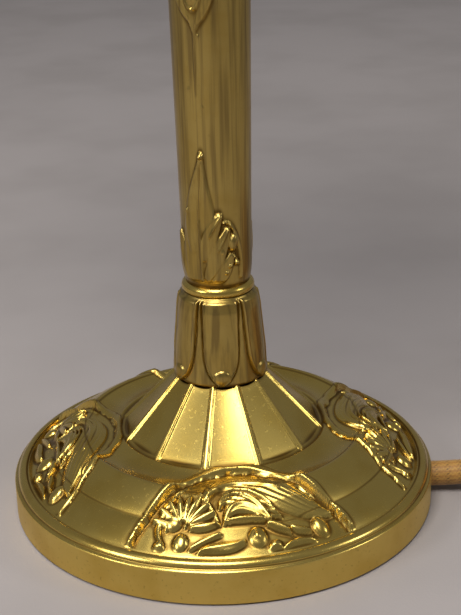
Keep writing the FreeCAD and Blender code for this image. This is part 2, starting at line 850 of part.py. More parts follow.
def lampholder():
    wall = size("holder_wall")
    cap = new_body("holder_cap")
    turn(cap, "holder_cap_turned", [
        (size("rod_radius") + size("running_fit"), top_nut_top),
        (holder - 3, top_nut_top, -0.8),
        (holder, top_nut_top + 3),
        (holder, holder_cap_top),
        (holder - wall, holder_cap_top),
        (holder - wall, top_nut_top + wall + 2),
        (size("rod_radius") + size("running_fit"), top_nut_top + wall + 2),
    ])
    shell = new_body("holder_shell")
    turn(shell, "holder_shell_turned", [
        (holder - wall, holder_cap_top),
        (holder, holder_cap_top),
        (holder, holder_top - 0.8),
        (holder - 0.8, holder_top),
        (thread_radius + 1.6, holder_top),
        (thread_radius + 1.6, holder_top - wall),
        (holder - wall, holder_top - wall),
    ])
    washer("holder_ring", holder + size("running_fit"), holder + 3, holder_top - 8, holder_top - 4)
    insert = new_body("holder_insert")
    turn(insert, "insert_turned", [
        (0, holder_cap_top),
        (holder - wall - size("running_fit"), holder_cap_top),
        (holder - wall - size("running_fit"), holder_cap_top + 6),
        (thread_radius + 0.7, holder_cap_top + 6),
        (thread_radius + 0.7, holder_cap_top + 4),
        (0, holder_cap_top + 4),
    ])
    washer("holder_thread", thread_radius, thread_radius + 0.6, holder_cap_top + 4, holder_top - wall - 0.3)
    contact = new_body("holder_contact")
    spot = new_sketch(contact, "contact_outline", "XY_Plane", holder_cap_top + 4)
    draw(spot, [(-2, -4), (2, -4), (2, 4), (-2, 4)])
    extrude("Pad", contact, "contact_pad", spot, 0.8)


def bulb():
    """An E14 round bulb: a brass cap, a glass globe on a short neck, and a filament on its posts."""
    cap_bottom = holder_cap_top + 5.1
    cap_top = cap_bottom + size("bulb_cap_height")
    cap_radius, wall = size("bulb_cap_radius"), size("bulb_wall")
    globe = size("bulb_radius")
    top = cap_top + size("bulb_height")
    centre = top - globe
    neck = cap_radius + 1.0
    cap = new_body("bulb_cap")
    turn(cap, "bulb_cap_turned", [
        (0, cap_bottom), (3, cap_bottom), (cap_radius, cap_bottom + 3), (cap_radius, cap_top),
        (0, cap_top),
    ])
    glass = new_body("bulb_glass")
    turn(glass, "bulb_turned", [
        (0, cap_top),
        (neck, cap_top),
        (neck + 0.6, cap_top + 11, -4.0),
        (globe, centre, -QUARTER_BOW * globe),
        (0, top),
        (0, top - wall, QUARTER_BOW * (globe - wall)),
        (globe - wall, centre, 3.9),
        (neck + 0.6 - wall, cap_top + 11 + wall / 2),
        (neck - wall, cap_top + wall),
        (0, cap_top + wall),
    ])
    filament = new_body("bulb_filament")
    posts = new_sketch(filament, "post_outline", "XY_Plane", cap_top + wall)
    draw_circle(posts, 6.0, 0, 0.4)
    draw_circle(posts, -6.0, 0, 0.4)
    extrude("Pad", filament, "filament_posts", posts, centre - cap_top - wall)
    wire = new_sketch(filament, "wire_outline", "YZ_Plane")
    draw_circle(wire, 0, centre, 0.7)
    extrude("Pad", filament, "filament_wire", wire, 12.6, both_ways=True)


# ------------------------------------------------------------------ cord, switch and plug
# Places along the cord are (u, v, z): u outwards from the axis where the cord leaves the foot, v to the left of that.
switch_start = size("switch_start")
switch_end = switch_start + size("switch_length")
switch_axis = size("switch_height") / 2
coil_outer = size("coil_radius") + size("coil_width") / 2
entry_radius = coil_outer - size("cord_radius")
COIL_U = foot_radius.value + 110
coil_v = entry_radius.value
LEAVING_ANGLE = -5.0  # where the last turn ends, measured in the coil from u towards v
TAIL_BEND = 38.0  # radius of the curve that brings the cord in over the coil
TAIL_STEP = 27.0  # turn at each of its corners
TAIL_HEIGHTS = (12.0, 17.3, 20.4, 21.8, 23.0)  # of its corners; the last is the plug's nose


def spot(u, v, z):
    return around(CORD_AZIMUTH) * u + around(CORD_AZIMUTH + 90) * v + Vector(0, 0, z)


def rounded_route(points, name):
    """Straight runs joined by tangent arcs, each as large as its two runs allow."""
    edges = []
    at = points[0]
    for before, corner, after in zip(points, points[1:], points[2:]):
        first, second = corner - before, after - corner
        turn_by = first.getAngle(second)
        reach = 0.45 * min(first.Length, second.Length)
        print(f"{name}: arc of radius {reach / math.tan(turn_by / 2):.0f} mm")
        start = corner - first.normalize() * reach
        finish = corner + second.normalize() * reach
        inward = (start + finish) * 0.5 - corner
        middle = corner + inward.normalize() * reach * (1 / math.cos(turn_by / 2) - 1) / math.tan(turn_by / 2)
        edges.append(Part.LineSegment(at, start).toShape())
        edges.append(Part.Arc(start, middle, finish).toShape())
        at = finish
    edges.append(Part.LineSegment(at, points[-1]).toShape())
    return Part.Wire(edges)


def leaving(step):
    """A corner of the curve by which the cord leaves the last turn and comes in over the coil."""
    first = math.radians(LEAVING_ANGLE)
    here = math.radians(LEAVING_ANGLE + TAIL_STEP * step)
    shift = entry_radius.value - TAIL_BEND
    u = COIL_U + shift * math.cos(first) + TAIL_BEND * math.cos(here)
    v = coil_v + shift * math.sin(first) + TAIL_BEND * math.sin(here)
    return spot(u, v, TAIL_HEIGHTS[step])


def cords():
    radius = size("cord_radius").value
    lead = [
        spot(bushing_start.value, 0, cord_height.value),
        spot(bushing_start.value + 10.4, 0, cord_height.value + 0.2),
        spot(switch_start.value, 0, switch_axis.value),
    ]
    swept(rounded_route(lead, "cord_lead"), radius, "cord_lead")
    link = [
        spot(switch_end.value, 0, switch_axis.value),
        spot(switch_end.value + 17, -0.6, radius + 0.4),
        spot(COIL_U, 0, radius),
    ]
    swept(rounded_route(link, "cord_link"), radius, "cord_link")
    tail = [leaving(step) for step in range(len(TAIL_HEIGHTS))]
    swept(rounded_route(tail, "cord_tail"), radius, "cord_tail")


def cord_coil():
    """The outer shape of the coil's turns: two layers deep, with rounded edges."""
    body = new_body("cord_coil")
    outer, inner = coil_outer, coil_outer - size("coil_width")
    round_edge, top = size("cord_radius"), 4 * size("cord_radius")
    bow = QUARTER_BOW * round_edge
    turn(body, "coil_turned", [
        (inner + round_edge, 0), (outer - round_edge, 0, -bow),
        (outer, round_edge), (outer, top - round_edge, -bow),
        (outer - round_edge, top), (inner + round_edge, top, -bow),
        (inner, top - round_edge), (inner, round_edge, -bow),
    ])
    body.Placement = Placement(spot(COIL_U, coil_v, 0), Rotation())


def switch_outline(sketch, inset, length, width):
    """A long oval with blunt ends."""
    half, wide = length / 2 - inset, width / 2 - inset
    blunt = size("cord_radius") + 1.6 - inset
    draw(sketch, [
        (-half, -blunt), (half * -0.45, -wide), (half * 0.45, -wide), (half, -blunt),
        (half, blunt), (half * 0.45, wide), (half * -0.45, wide), (-half, blunt),
    ])


def switch():
    """An in-line switch: two half shells around the cord, a sliding button, and two screws from below."""
    length, width, height = size("switch_length"), size("switch_width"), size("switch_height")
    wall, axis = 1.6, switch_axis
    centre = (switch_start + switch_end) / 2
    cord_hole = size("cord_radius") + size("running_fit")
    window = size("button_length") + size("button_travel") + 2 * size("loose_fit")
    for name, low, high in (("switch_lower", Size(0, "0"), axis), ("switch_upper", axis, height)):
        body = doc.addObject("PartDesign::Body", name + "_solid")
        sketch = new_sketch(body, name + "_outline", "XY_Plane", low)
        switch_outline(sketch, 0.0, length, width)
        block = extrude("Pad", body, name + "_block", sketch, high - low)
        outer_face = max(range(len(block.Shape.Faces)), key=lambda k: abs(block.Shape.Faces[k].CenterOfMass.z - axis.value))
        edge = body.newObject("PartDesign::Chamfer", name + "_edge")
        edge.Base = (block, [f"Face{outer_face + 1}"])
        edge.Size = 1.5
        doc.recompute()
        if name == "switch_upper":
            slot = new_sketch(body, "window_outline", "XY_Plane", height + 1)
            half_long, half_wide = window / 2, size("button_width") / 2 + size("loose_fit")
            draw(slot, [(-half_long, -half_wide), (half_long, -half_wide), (half_long, half_wide), (-half_long, half_wide)])
            extrude("Pocket", body, "window", slot, wall + 2)
        else:
            holes = new_sketch(body, "screw_outline", "XY_Plane", low)
            for side in (-1, 1):
                draw_circle(holes, 0, side * (width / 2 - 2.6), 1.2)
            extrude("Pocket", body, "screw_holes", holes, axis, reverse=True)
        hollow = new_sketch(body, name + "_hollow_outline", "XY_Plane", axis)
        switch_outline(hollow, wall + 2.8, length - 10, width)
        extrude("Pocket", body, name + "_hollow", hollow, axis - wall, reverse=name == "switch_upper")
        place_at(body, CORD_AZIMUTH, centre.value)
        shell = doc.addObject("Part::Cut", name + "_bored")
        shell.Base = body
        shell.Tool = outward_cylinder(name + "_bore", cord_hole, switch_start - 1, length + 2, CORD_AZIMUTH, axis)
        keep(shell, name)
    screws = new_body("switch_screws")
    pins = new_sketch(screws, "switch_screw_outline", "XY_Plane", 0.4)
    for side in (-1, 1):
        draw_circle(pins, 0, side * (width / 2 - 2.6), Size(1.2, "1.2") - size("running_fit"))
    extrude("Pad", screws, "switch_screw_pins", pins, axis - 0.4)
    place_at(screws, CORD_AZIMUTH, centre.value)
    button = new_body("switch_button")
    start = -window / 2 + size("loose_fit")
    half_wide = size("button_width") / 2
    top = height + size("button_rise")
    sketch = new_sketch(button, "button_outline", "XZ_Plane")
    finish = start + size("button_length")
    draw(sketch, [
        (start, height - 2.4), (finish, height - 2.4), (finish, top - 0.6),
        (finish - 0.6, top, 0.7), (start + 0.6, top), (start, top - 0.6),
    ])
    extrude("Pad", button, "button_pad", sketch, 2 * half_wide, both_ways=True)
    place_at(button, CORD_AZIMUTH, centre.value)


def plug():
    """A flat two-pin plug with a tapered nose around the cord."""
    length, width, height = size("plug_length"), size("plug_width"), size("plug_height")
    nose, mid = size("plug_nose_length"), size("plug_height") / 2
    body = new_body("plug_body")
    sketch = new_sketch(body, "plug_outline", "XY_Plane")
    draw(sketch, [
        (nose, -width * 0.30), (nose + length * 0.6, -width / 2), (nose + length, -width / 2),
        (nose + length, width / 2), (nose + length * 0.6, width / 2), (nose, width * 0.30),
    ])
    block = extrude("Pad", body, "plug_block", sketch, height)
    flat = [f"Face{k + 1}" for k, f in enumerate(block.Shape.Faces) if abs(f.normalAt(0, 0).z) > 0.99]
    edge = body.newObject("PartDesign::Chamfer", "plug_edge")
    edge.Base = (block, flat)
    edge.Size = 2.0
    doc.recompute()
    taper = new_sketch(body, "nose_outline", "XZ_Plane")
    back, front = size("cord_radius") + 1.0, mid - 0.4
    draw(taper, [(0, mid), (nose + 3, mid), (nose + 3, mid + front), (nose, mid + front), (0, mid + back)])
    cone = body.newObject("PartDesign::Revolution", "nose")
    cone.Profile = taper
    cone.ReferenceAxis = (taper, ["Edge1"])
    cone.Angle = 360
    doc.recompute()
    pins = new_body("plug_pins")
    ends = new_sketch(pins, "pin_outline", "YZ_Plane", nose + length)
    for side in (-1, 1):
        draw_circle(ends, side * size("pin_spacing") / 2, mid, size("pin_radius"))
    extrude("Pad", pins, "pin_pad", ends, size("pin_length"))
    last = len(TAIL_HEIGHTS) - 1
    place = leaving(last) - Vector(0, 0, mid.value)
    heading = CORD_AZIMUTH + LEAVING_ANGLE + TAIL_STEP * (last - 0.5)
    for piece in (body, pins):
        piece.Placement = Placement(place, Rotation(Vector(0, 0, 1), heading))


# ------------------------------------------------------------------ the whole lamp
foot_casting()
foot_weight()
weight_screws()
foot_underside()
cord_bushing()
cord_clamp()
clamp_screws()
axis_hardware()
inner_cable()
petal_collar()
astragal()
neck_ring()
stem()
capital()
gallery()
thumbscrews()
glass_fitter()
glass_bowl()
lampholder()
bulb()
cords()
cord_coil()
switch()
plug()
doc.recompute()

for item in doc.Objects:
    if "Invalid" in item.State or "Error" in item.State:
        raise RuntimeError(f"{item.Name} is {item.State}")
for node in nodes:
    shape = node.Shape
    if shape.isNull() or not shape.isValid() or shape.Volume <= 0:
        raise RuntimeError(f"{node.Label} has no valid solid")

os.makedirs("parts", exist_ok=True)
for node in nodes:
    node.Shape.exportStep(f"parts/{node.Label}.step")
    box = node.Shape.BoundBox
    print(f"{node.Label}: {len(node.Shape.Solids)} solid(s), {node.Shape.Volume:.0f} mm3, "
          f"x {box.XMin:.1f}..{box.XMax:.1f} y {box.YMin:.1f}..{box.YMax:.1f} z {box.ZMin:.1f}..{box.ZMax:.1f}")
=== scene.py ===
# %% [markdown]
# # A torchiere table lamp in cast brass
# The lamp was built as a construction model first: a hollow foot, a petal collar, a stem, a gallery with a glass
# bowl, and a braided cord. This lesson dresses that model. Its solids come in as a fixed frame, in metres, and every
# piece made here lies exactly where they are. The first lines load the frame.

# %% Load the frame
import json
import math

import bmesh
import bpy
import numpy as np
from mathutils import Matrix, Vector


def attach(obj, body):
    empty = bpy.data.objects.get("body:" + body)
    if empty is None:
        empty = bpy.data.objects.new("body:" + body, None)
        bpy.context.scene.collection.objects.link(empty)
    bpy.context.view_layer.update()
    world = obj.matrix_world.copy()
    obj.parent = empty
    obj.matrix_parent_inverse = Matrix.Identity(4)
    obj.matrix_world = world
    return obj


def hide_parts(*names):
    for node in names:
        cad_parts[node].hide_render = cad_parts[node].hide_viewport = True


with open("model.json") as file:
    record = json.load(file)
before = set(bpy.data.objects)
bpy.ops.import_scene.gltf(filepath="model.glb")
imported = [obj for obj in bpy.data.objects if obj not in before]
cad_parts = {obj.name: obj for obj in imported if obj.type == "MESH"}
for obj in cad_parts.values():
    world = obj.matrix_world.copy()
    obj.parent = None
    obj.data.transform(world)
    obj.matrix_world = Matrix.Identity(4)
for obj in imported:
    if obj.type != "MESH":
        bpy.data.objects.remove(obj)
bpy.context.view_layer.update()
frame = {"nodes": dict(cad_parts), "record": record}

MM = 0.001

# %% [markdown]
# ## The camera
# The lamp is looked at from a little left of its front and from above, close enough that only the foot and the lower
# stem are in view. The camera's place is its distance from the middle of the foot along one line of sight. Three
# small turns then aim it, first sideways, then upwards, and last about its own axis. A camera's columns are its
# right, its up and the opposite of where it looks.

# %% Place the camera
CAMERA_AZIMUTH = math.radians(-5.0)
CAMERA_HEIGHT = math.radians(29.48)
CAMERA_DISTANCE = 0.4486
CAMERA_TURN = math.radians(-0.487)
CAMERA_LIFT = math.radians(-7.354)
CAMERA_ROLL = math.radians(1.77)


def turned(first, second, angle):
    """Two square axes after a turn that carries the first towards the second."""
    c, s = math.cos(angle), math.sin(angle)
    return c * first + s * second, c * second - s * first


def place_camera():
    a, e = CAMERA_AZIMUTH, CAMERA_HEIGHT
    right = Vector((math.cos(a), math.sin(a), 0))
    ahead = Vector((-math.sin(a) * math.cos(e), math.cos(a) * math.cos(e), -math.sin(e)))
    up = Vector((-math.sin(a) * math.sin(e), math.cos(a) * math.sin(e), math.cos(e)))
    place = -CAMERA_DISTANCE * ahead
    right, ahead = turned(right, ahead, CAMERA_TURN)
    up, ahead = turned(up, ahead, CAMERA_LIFT)
    up, right = turned(up, right, CAMERA_ROLL)
    data = bpy.data.cameras.new("camera")
    data.sensor_fit = "VERTICAL"
    data.sensor_height = 36.0
    data.lens = 81.95
    camera = bpy.data.objects.new("camera", data)
    bpy.context.collection.objects.link(camera)
    camera.matrix_world = Matrix(
        [[right[i], up[i], -ahead[i], place[i]] for i in range(3)] + [[0, 0, 0, 1]]
    )
    bpy.context.scene.camera = camera
    return camera


print("camera at", [round(v, 4) for v in place_camera().matrix_world.translation])

# %% [markdown]
# ## Finishes: shader maths as plain sums
# A finish is a small graph of nodes. Written out node by node, even a simple sum takes many lines, so two helpers do
# it here. `Value` wraps a socket that carries a number, and its `+ - * /` each add a Math node. `Finish` is one
# material: its `node` method makes any node from its type, its settings and the values or links of its sockets.

# %% Helpers for finishes
class Value:
    """A number that changes over the surface."""

    def __init__(self, finish, socket):
        self.finish, self.socket = finish, socket

    def maths(self, operation, *others):
        sockets = dict(enumerate((self, *others)))
        return self.finish.value("ShaderNodeMath", {"operation": operation}, sockets)

    def __add__(self, other):
        return self.maths("ADD", other)

    def __sub__(self, other):
        return self.maths("SUBTRACT", other)

    def __mul__(self, other):
        return self.maths("MULTIPLY", other)

    def __rsub__(self, other):
        return self.finish.value("ShaderNodeMath", {"operation": "SUBTRACT"}, {0: other, 1: self})

    __radd__ = __add__
    __rmul__ = __mul__

    def over(self, low, high):
        """0 where this is low, 1 where it is high, and smooth between."""
        settings = {"interpolation_type": "SMOOTHSTEP"}
        return self.finish.value("ShaderNodeMapRange", settings, {"Value": self, "From Min": low, "From Max": high})


class Finish:
    """One material, with its shader ready to be given colours and roughness."""

    def __init__(self, name):
        self.material = bpy.data.materials.new(name)
        self.material.use_nodes = True
        self.tree = self.material.node_tree
        self.shader = next(n for n in self.tree.nodes if n.type == "BSDF_PRINCIPLED")

    def fill(self, socket, value):
        if isinstance(value, Value):
            self.tree.links.new(value.socket, socket)
        elif isinstance(value, bpy.types.NodeSocket):
            self.tree.links.new(value, socket)
        else:
            if socket.type == "RGBA" and len(value) == 3:
                value = (*value, 1)
            socket.default_value = value

    def node(self, kind, settings=None, sockets=None):
        node = self.tree.nodes.new(kind)
        for key, value in (settings or {}).items():
            if key == "stops":
                ramp = node.color_ramp.elements
                while len(ramp) < len(value):
                    ramp.new(1)
                for stop, (at, colour) in zip(ramp, value):
                    stop.position = at
                    stop.color = (*colour, 1)
            else:
                setattr(node, key, value)
        for key, value in (sockets or {}).items():
            self.fill(node.inputs[key], value)
        return node

    def value(self, kind, settings=None, sockets=None, out=0):
        return Value(self, self.node(kind, settings, sockets).outputs[out])

    def mix(self, amount, first, second):
        node = self.node("ShaderNodeMix", {"data_type": "RGBA"}, {"Factor": amount})
        self.fill(node.inputs[6], first)
        self.fill(node.inputs[7], second)
        return node.outputs[2]

    def place(self, scale=(1, 1, 1)):
        """Where a point is on its piece, in metres, stretched by scale."""
        where = self.node("ShaderNodeTexCoord").outputs["Object"]
        return self.node("ShaderNodeMapping", {}, {"Vector": where, "Scale": scale}).outputs[0]

    def noise(self, size, detail=4.0, stretch=(1, 1, 1)):
        """Soft clouds from 0 to 1 whose lumps are about that many millimetres."""
        settings = {"Vector": self.place(stretch), "Scale": 1 / (size * MM), "Detail": detail}
        return self.value("ShaderNodeTexNoise", {}, settings)

    def painted(self, name):
        """A number kept on the mesh's own points."""
        return self.value("ShaderNodeAttribute", {"attribute_name": name}, {}, out=2)

    def bump(self, height, depth):
        """Fine relief, depth in millimetres."""
        node = self.node("ShaderNodeBump", {}, {"Height": height, "Distance": depth * MM, "Strength": 1.0})
        self.fill(self.shader.inputs["Normal"], node.outputs[0])

    def set(self, **sockets):
        for name, value in sockets.items():
            self.fill(self.shader.inputs[name.replace("_", " ")], value)
        return self


# %% [markdown]
# ## Brass
# The lamp's brass was cast, chased and then buffed, so it is smooth on whatever stands proud and dull in the hollows,
# where lacquer and dirt stay. One finish can do both if the mesh says where its hollows are. Each relief built below
# keeps a number on its points, from 0 on the open surface to 1 deep in a crease, that darkens the metal there: it is
# patina in the relief's hollows and painted shade at the outline's inner corners and where two parts meet. A second
# number, `matt`, marks where the metal was left as it came from the sand, as it was on the foot's rim.

# %% Make the brass finishes
def brass(name, bright, deep, polish, speckle, streaks=0.0):
    """bright is the colour of open metal and deep that of creases, patina in hollows and painted shade at corners and
    joints; polish is the roughness of open metal.
    """
    finish = Finish(name)
    hollow, matt = finish.painted("hollow"), finish.painted("matt")
    clouds = finish.noise(14.0, 5.0)
    grain = finish.noise(0.55, 3.0)
    pits = finish.noise(1.1, 6.0).over(0.60, 0.74)
    stain = finish.mix(clouds.over(0.40, 0.66), bright, [c * t for c, t in zip(bright, (0.90, 0.86, 0.74))])
    if streaks:
        drawn = finish.noise(1.5, 3.0, (1, 1, 0.03)).over(0.42, 0.68)
        stain = finish.mix(drawn * streaks, stain, [c * t for c, t in zip(bright, (0.48, 0.46, 0.52))])
    # The crease colour here is patina in the hollows and painted shade at outline corners and part joints.
    patina_and_shade_mix = finish.mix(hollow.over(0.10, 0.85), stain, deep)
    dull = finish.mix(pits * (0.10 + matt * 0.22), patina_and_shade_mix, deep)
    finish.set(Base_Color=dull, Metallic=1.0)
    finish.set(Roughness=polish + clouds * 0.06 + hollow * 0.16 + matt * 0.22 + pits * 0.08)
    finish.bump(grain * (0.35 + matt * 1.2) + pits * (0.5 + matt), speckle)
    return finish.material


finishes = {
    "polished_brass": brass("polished_brass", (0.68, 0.49, 0.125), (0.20, 0.115, 0.024), 0.21, 0.010),
    "column_brass": brass("column_brass", (0.50, 0.36, 0.105), (0.17, 0.10, 0.022), 0.26, 0.010, streaks=0.8),
    "plain_brass": brass("plain_brass", (0.66, 0.50, 0.20), (0.26, 0.16, 0.05), 0.28, 0.010),
}
print("brass finishes:", list(finishes))

# %% [markdown]
# ## The other finishes
# Iron, steel, nickel, felt, plastics, glass and porcelain each need only a colour, a grain of the right size and a
# roughness that varies a little. They are kept in one table, so that they can be compared.

# %% Make the plain finishes
def plain(name, colour, shade, size, roughness, depth, metallic=0.0, **more):
    """A colour that drifts towards a shade in lumps of that size, with as fine a bump."""
    finish = Finish(name)
    lumps = finish.noise(size, 6.0)
    finish.set(Base_Color=finish.mix(lumps.over(0.35, 0.68), colour, shade), Metallic=metallic)
    finish.set(Roughness=roughness + lumps * 0.12, **more)
    finish.bump(lumps, depth)
    finishes[name] = finish.material
    return finish


plain("iron", (0.16, 0.14, 0.13), (0.24, 0.13, 0.08), 2.2, 0.55, 0.10, metallic=0.7)
plain("steel", (0.56, 0.56, 0.55), (0.42, 0.41, 0.40), 1.2, 0.28, 0.01, metallic=1.0)
plain("nickel", (0.72, 0.68, 0.60), (0.58, 0.54, 0.47), 2.5, 0.16, 0.005, metallic=1.0)
plain("felt", (0.035, 0.085, 0.045), (0.06, 0.13, 0.07), 0.35, 0.85, 0.12, Sheen_Weight=0.5, Sheen_Roughness=0.5)
plain("black_plastic", (0.018, 0.018, 0.018), (0.035, 0.034, 0.033), 0.8, 0.38, 0.010)
plain("brown_plastic", (0.060, 0.022, 0.010), (0.10, 0.040, 0.018), 6.0, 0.24, 0.006, Coat_Weight=0.25)
plain("ivory_plastic", (0.72, 0.63, 0.44), (0.66, 0.56, 0.38), 3.0, 0.32, 0.006)
plain("cable_sheath", (0.030, 0.028, 0.027), (0.055, 0.052, 0.050), 0.9, 0.45, 0.015)
plain("porcelain", (0.80, 0.77, 0.70), (0.74, 0.70, 0.62), 4.0, 0.20, 0.006, Coat_Weight=0.4)
plain("opal_glass", (0.82, 0.79, 0.72), (0.76, 0.72, 0.64), 9.0, 0.12, 0.02, Subsurface_Weight=0.25,
      Subsurface_Radius=(0.010, 0.008, 0.006), Subsurface_Scale=0.5, Coat_Weight=0.3)
plain("frosted_glass", (0.84, 0.83, 0.80), (0.78, 0.77, 0.74), 3.0, 0.40, 0.01, Subsurface_Weight=0.2)
print(len(finishes), "finishes")

# %% [markdown]
# ## The gold braid on the cord
# The mains cord has a textile sleeve, woven round it from about forty gold and brown threads. Half of them climb to
# the left and half to the right, each going over one and under the next. The sleeve could be a bump in a plain tube's
# finish, but its threads also break the cord's edge, so they are given to the mesh itself and the finish only
# colours them, from two numbers on the points: how high a thread stands there and which way it climbs. Where a
# thread sinks low between its neighbours, the finish paints in shade.

# %% Make the braid finish
def braid():
    finish = Finish("gold_braid")
    crown, turn = finish.painted("crown"), finish.painted("climb")
    fibre = finish.noise(0.25, 4.0)
    gold = finish.mix(turn.over(0.2, 0.8), (0.42, 0.215, 0.040), (0.33, 0.145, 0.026))
    # Painted shade: the threads go near black where they sink low between their neighbours.
    colour = finish.mix(crown.over(0.15, 0.85), (0.07, 0.028, 0.008), gold)
    finish.set(Base_Color=finish.mix(fibre.over(0.35, 0.75) * 0.35, colour, (0.62, 0.38, 0.10)))
    finish.set(Roughness=0.48 + fibre * 0.2, Sheen_Weight=0.35, Sheen_Roughness=0.4)
    finish.bump(fibre, 0.05)
    finishes["gold_braid"] = finish.material


braid()

# %% [markdown]
# ## A helper that turns a grid of points into a piece
# Nearly every part of this lamp is a skin over a regular grid: rows of points along an outline, columns round an
# axis. One function makes the mesh, welds the points that fall together on the axis, keeps any numbers given for its
# points, hangs the piece on its body's empty and hides the construction solids that it stands for.

# %% Build a piece from a grid
def grid_piece(name, points, finish, body, stands_for=(), numbers=None, round_rows=False, sharp=40):
    """points is rows x columns x 3 in millimetres; the columns close on themselves, and so may the rows."""
    rows, columns = points.shape[:2]
    index = np.arange(rows * columns).reshape(rows, columns)
    here = index if round_rows else index[:-1]
    after = np.roll(index, -1, axis=0) if round_rows else index[1:]
    faces = np.stack([here, np.roll(here, -1, 1), np.roll(after, -1, 1), after], -1).reshape(-1, 4)
    mesh = bpy.data.meshes.new(name)
    mesh.from_pydata((points.reshape(-1, 3) * MM).tolist(), [], faces.tolist())
    for key, values in (numbers or {}).items():
        mesh.attributes.new(key, "FLOAT", "POINT").data.foreach_set("value", values.ravel().astype("f"))
    work = bmesh.new()
    work.from_mesh(mesh)
    bmesh.ops.remove_doubles(work, verts=work.verts, dist=1e-7)
    bmesh.ops.recalc_face_normals(work, faces=work.faces)
    work.to_mesh(mesh)
    work.free()
    mesh.shade_smooth()
    mesh.set_sharp_from_angle(angle=math.radians(sharp))
    piece = bpy.data.objects.new(name, mesh)
    bpy.context.collection.objects.link(piece)
    piece.data.materials.append(finishes[finish])
    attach(piece, body)
    if stands_for:
        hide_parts(*stands_for)
    print(f"{name}: {len(mesh.vertices)} points")
    return piece


# %% [markdown]
# ## The cord's line
# The cord leaves the foot on the right, runs through a small switch out of view, and lies in a neat coil two layers
# deep, with its plug beside it. A real cord is one smooth curve, so its line is one NURBS spline whose control points
# are the route's corners and the coil's turns. The first turns wind inwards on the floor and the second layer winds
# out again on top of them, a diameter higher.

# %% Lay out the cord's route
CORD_AZIMUTH = math.radians(82.0)
CORD_RADIUS = 4.0
COIL_CENTRE = (175.0, 58.0)
COIL_OUTER, COIL_INNER = 58.0, 37.06
LAYER_TURNS = 2.618
POINTS_A_TURN = 18
TAIL_BEND = 38.0
TAIL_HEIGHTS = (17.3, 20.4, 21.8, 23.0)


def on_floor(along, aside, height):
    """A point in metres from its distance out of the foot along the cord, aside to the left, and its height."""
    s, c = math.sin(CORD_AZIMUTH), math.cos(CORD_AZIMUTH)
    return Vector((along * s + aside * c, -along * c + aside * s, height)) * MM


def coil_point(turns):
    """Where the cord is after that many turns of the coil: in on the floor, then out on top."""
    layer, rest = divmod(turns, LAYER_TURNS)
    part = rest / LAYER_TURNS
    radius = COIL_OUTER + (COIL_INNER - COIL_OUTER) * (part if layer == 0 else 1 - part)
    climb = min(1.0, max(0.0, (turns - LAYER_TURNS + 0.3) / 0.6))
    height = CORD_RADIUS + 2 * CORD_RADIUS * climb * climb * (3 - 2 * climb)
    angle = 2 * math.pi * turns - math.pi / 2
    return on_floor(COIL_CENTRE[0] + radius * math.cos(angle), COIL_CENTRE[1] + radius * math.sin(angle), height)


def over_coil(step, height):
    """A corner of the curve that brings the end of the cord in over the coil to its plug."""
    end = 4 * math.pi * LAYER_TURNS - math.pi / 2
    here, shift = end + math.radians(27.0) * step, COIL_OUTER - TAIL_BEND
    return on_floor(COIL_CENTRE[0] + shift * math.cos(end) + TAIL_BEND * math.cos(here),
                    COIL_CENTRE[1] + shift * math.sin(end) + TAIL_BEND * math.sin(here), height)


route = [on_floor(62.6, 0, 5.1), on_floor(73, 0, 5.3), on_floor(85, 0, 7), on_floor(110, 0, 7),
         on_floor(135, 0, 7), on_floor(152, -0.6, 4.4)]
route += [coil_point(i / POINTS_A_TURN) for i in range(math.floor(2 * LAYER_TURNS * POINTS_A_TURN))]
route += [over_coil(0, 12.0)] + [over_coil(i + 1, z) for i, z in enumerate(TAIL_HEIGHTS)]
print(len(route), "points on the cord's route")


# %% Draw the cord's spline
def spline_through(points):
    data = bpy.data.curves.new("cord_line", "CURVE")
    data.dimensions = "3D"
    data.resolution_u = 6
    spline = data.splines.new("NURBS")
    spline.points.add(len(points) - 1)
    for point, place in zip(spline.points, points):
        point.co = (*place, 1)
    spline.order_u = 3
    spline.use_endpoint_u = True
    return data


def points_on(curve):
    """The spline's own points, in millimetres."""
    holder = bpy.data.objects.new("line_reader", curve)
    bpy.context.collection.objects.link(holder)
    bpy.context.view_layer.update()
    mesh = bpy.data.meshes.new_from_object(holder.evaluated_get(bpy.context.evaluated_depsgraph_get()))
    line = np.array([v.co[:] for v in mesh.vertices]) / MM
    bpy.data.objects.remove(holder)
    bpy.data.meshes.remove(mesh)
    return line


def evenly(line, pitch):
    """The same line with points at that spacing."""
    reach = np.concatenate([[0], np.cumsum(np.linalg.norm(np.diff(line, axis=0), axis=1))])
    at = np.linspace(0, reach[-1], int(reach[-1] / pitch) + 1)
    return np.stack([np.interp(at, reach, line[:, i]) for i in range(3)], 1), reach[-1]


cord_line, cord_length = evenly(points_on(spline_through(route)), 0.7)
print(f"the cord is {cord_length:.0f} mm long")


# %% Weave the sleeve round the line
THREADS = 16
THREAD_PITCH = 19.0
SLEEVE_POINTS = 64


def tube_frames(line):
    """At each point of a line, two directions square to it, with no twist from one to the next."""
    ahead = np.gradient(line, axis=0)
    ahead /= np.linalg.norm(ahead, axis=1)[:, None]
    side = np.cross(ahead, (0, 0, 1.0))
    side /= np.linalg.norm(side, axis=1)[:, None]
    return side, np.cross(side, ahead)


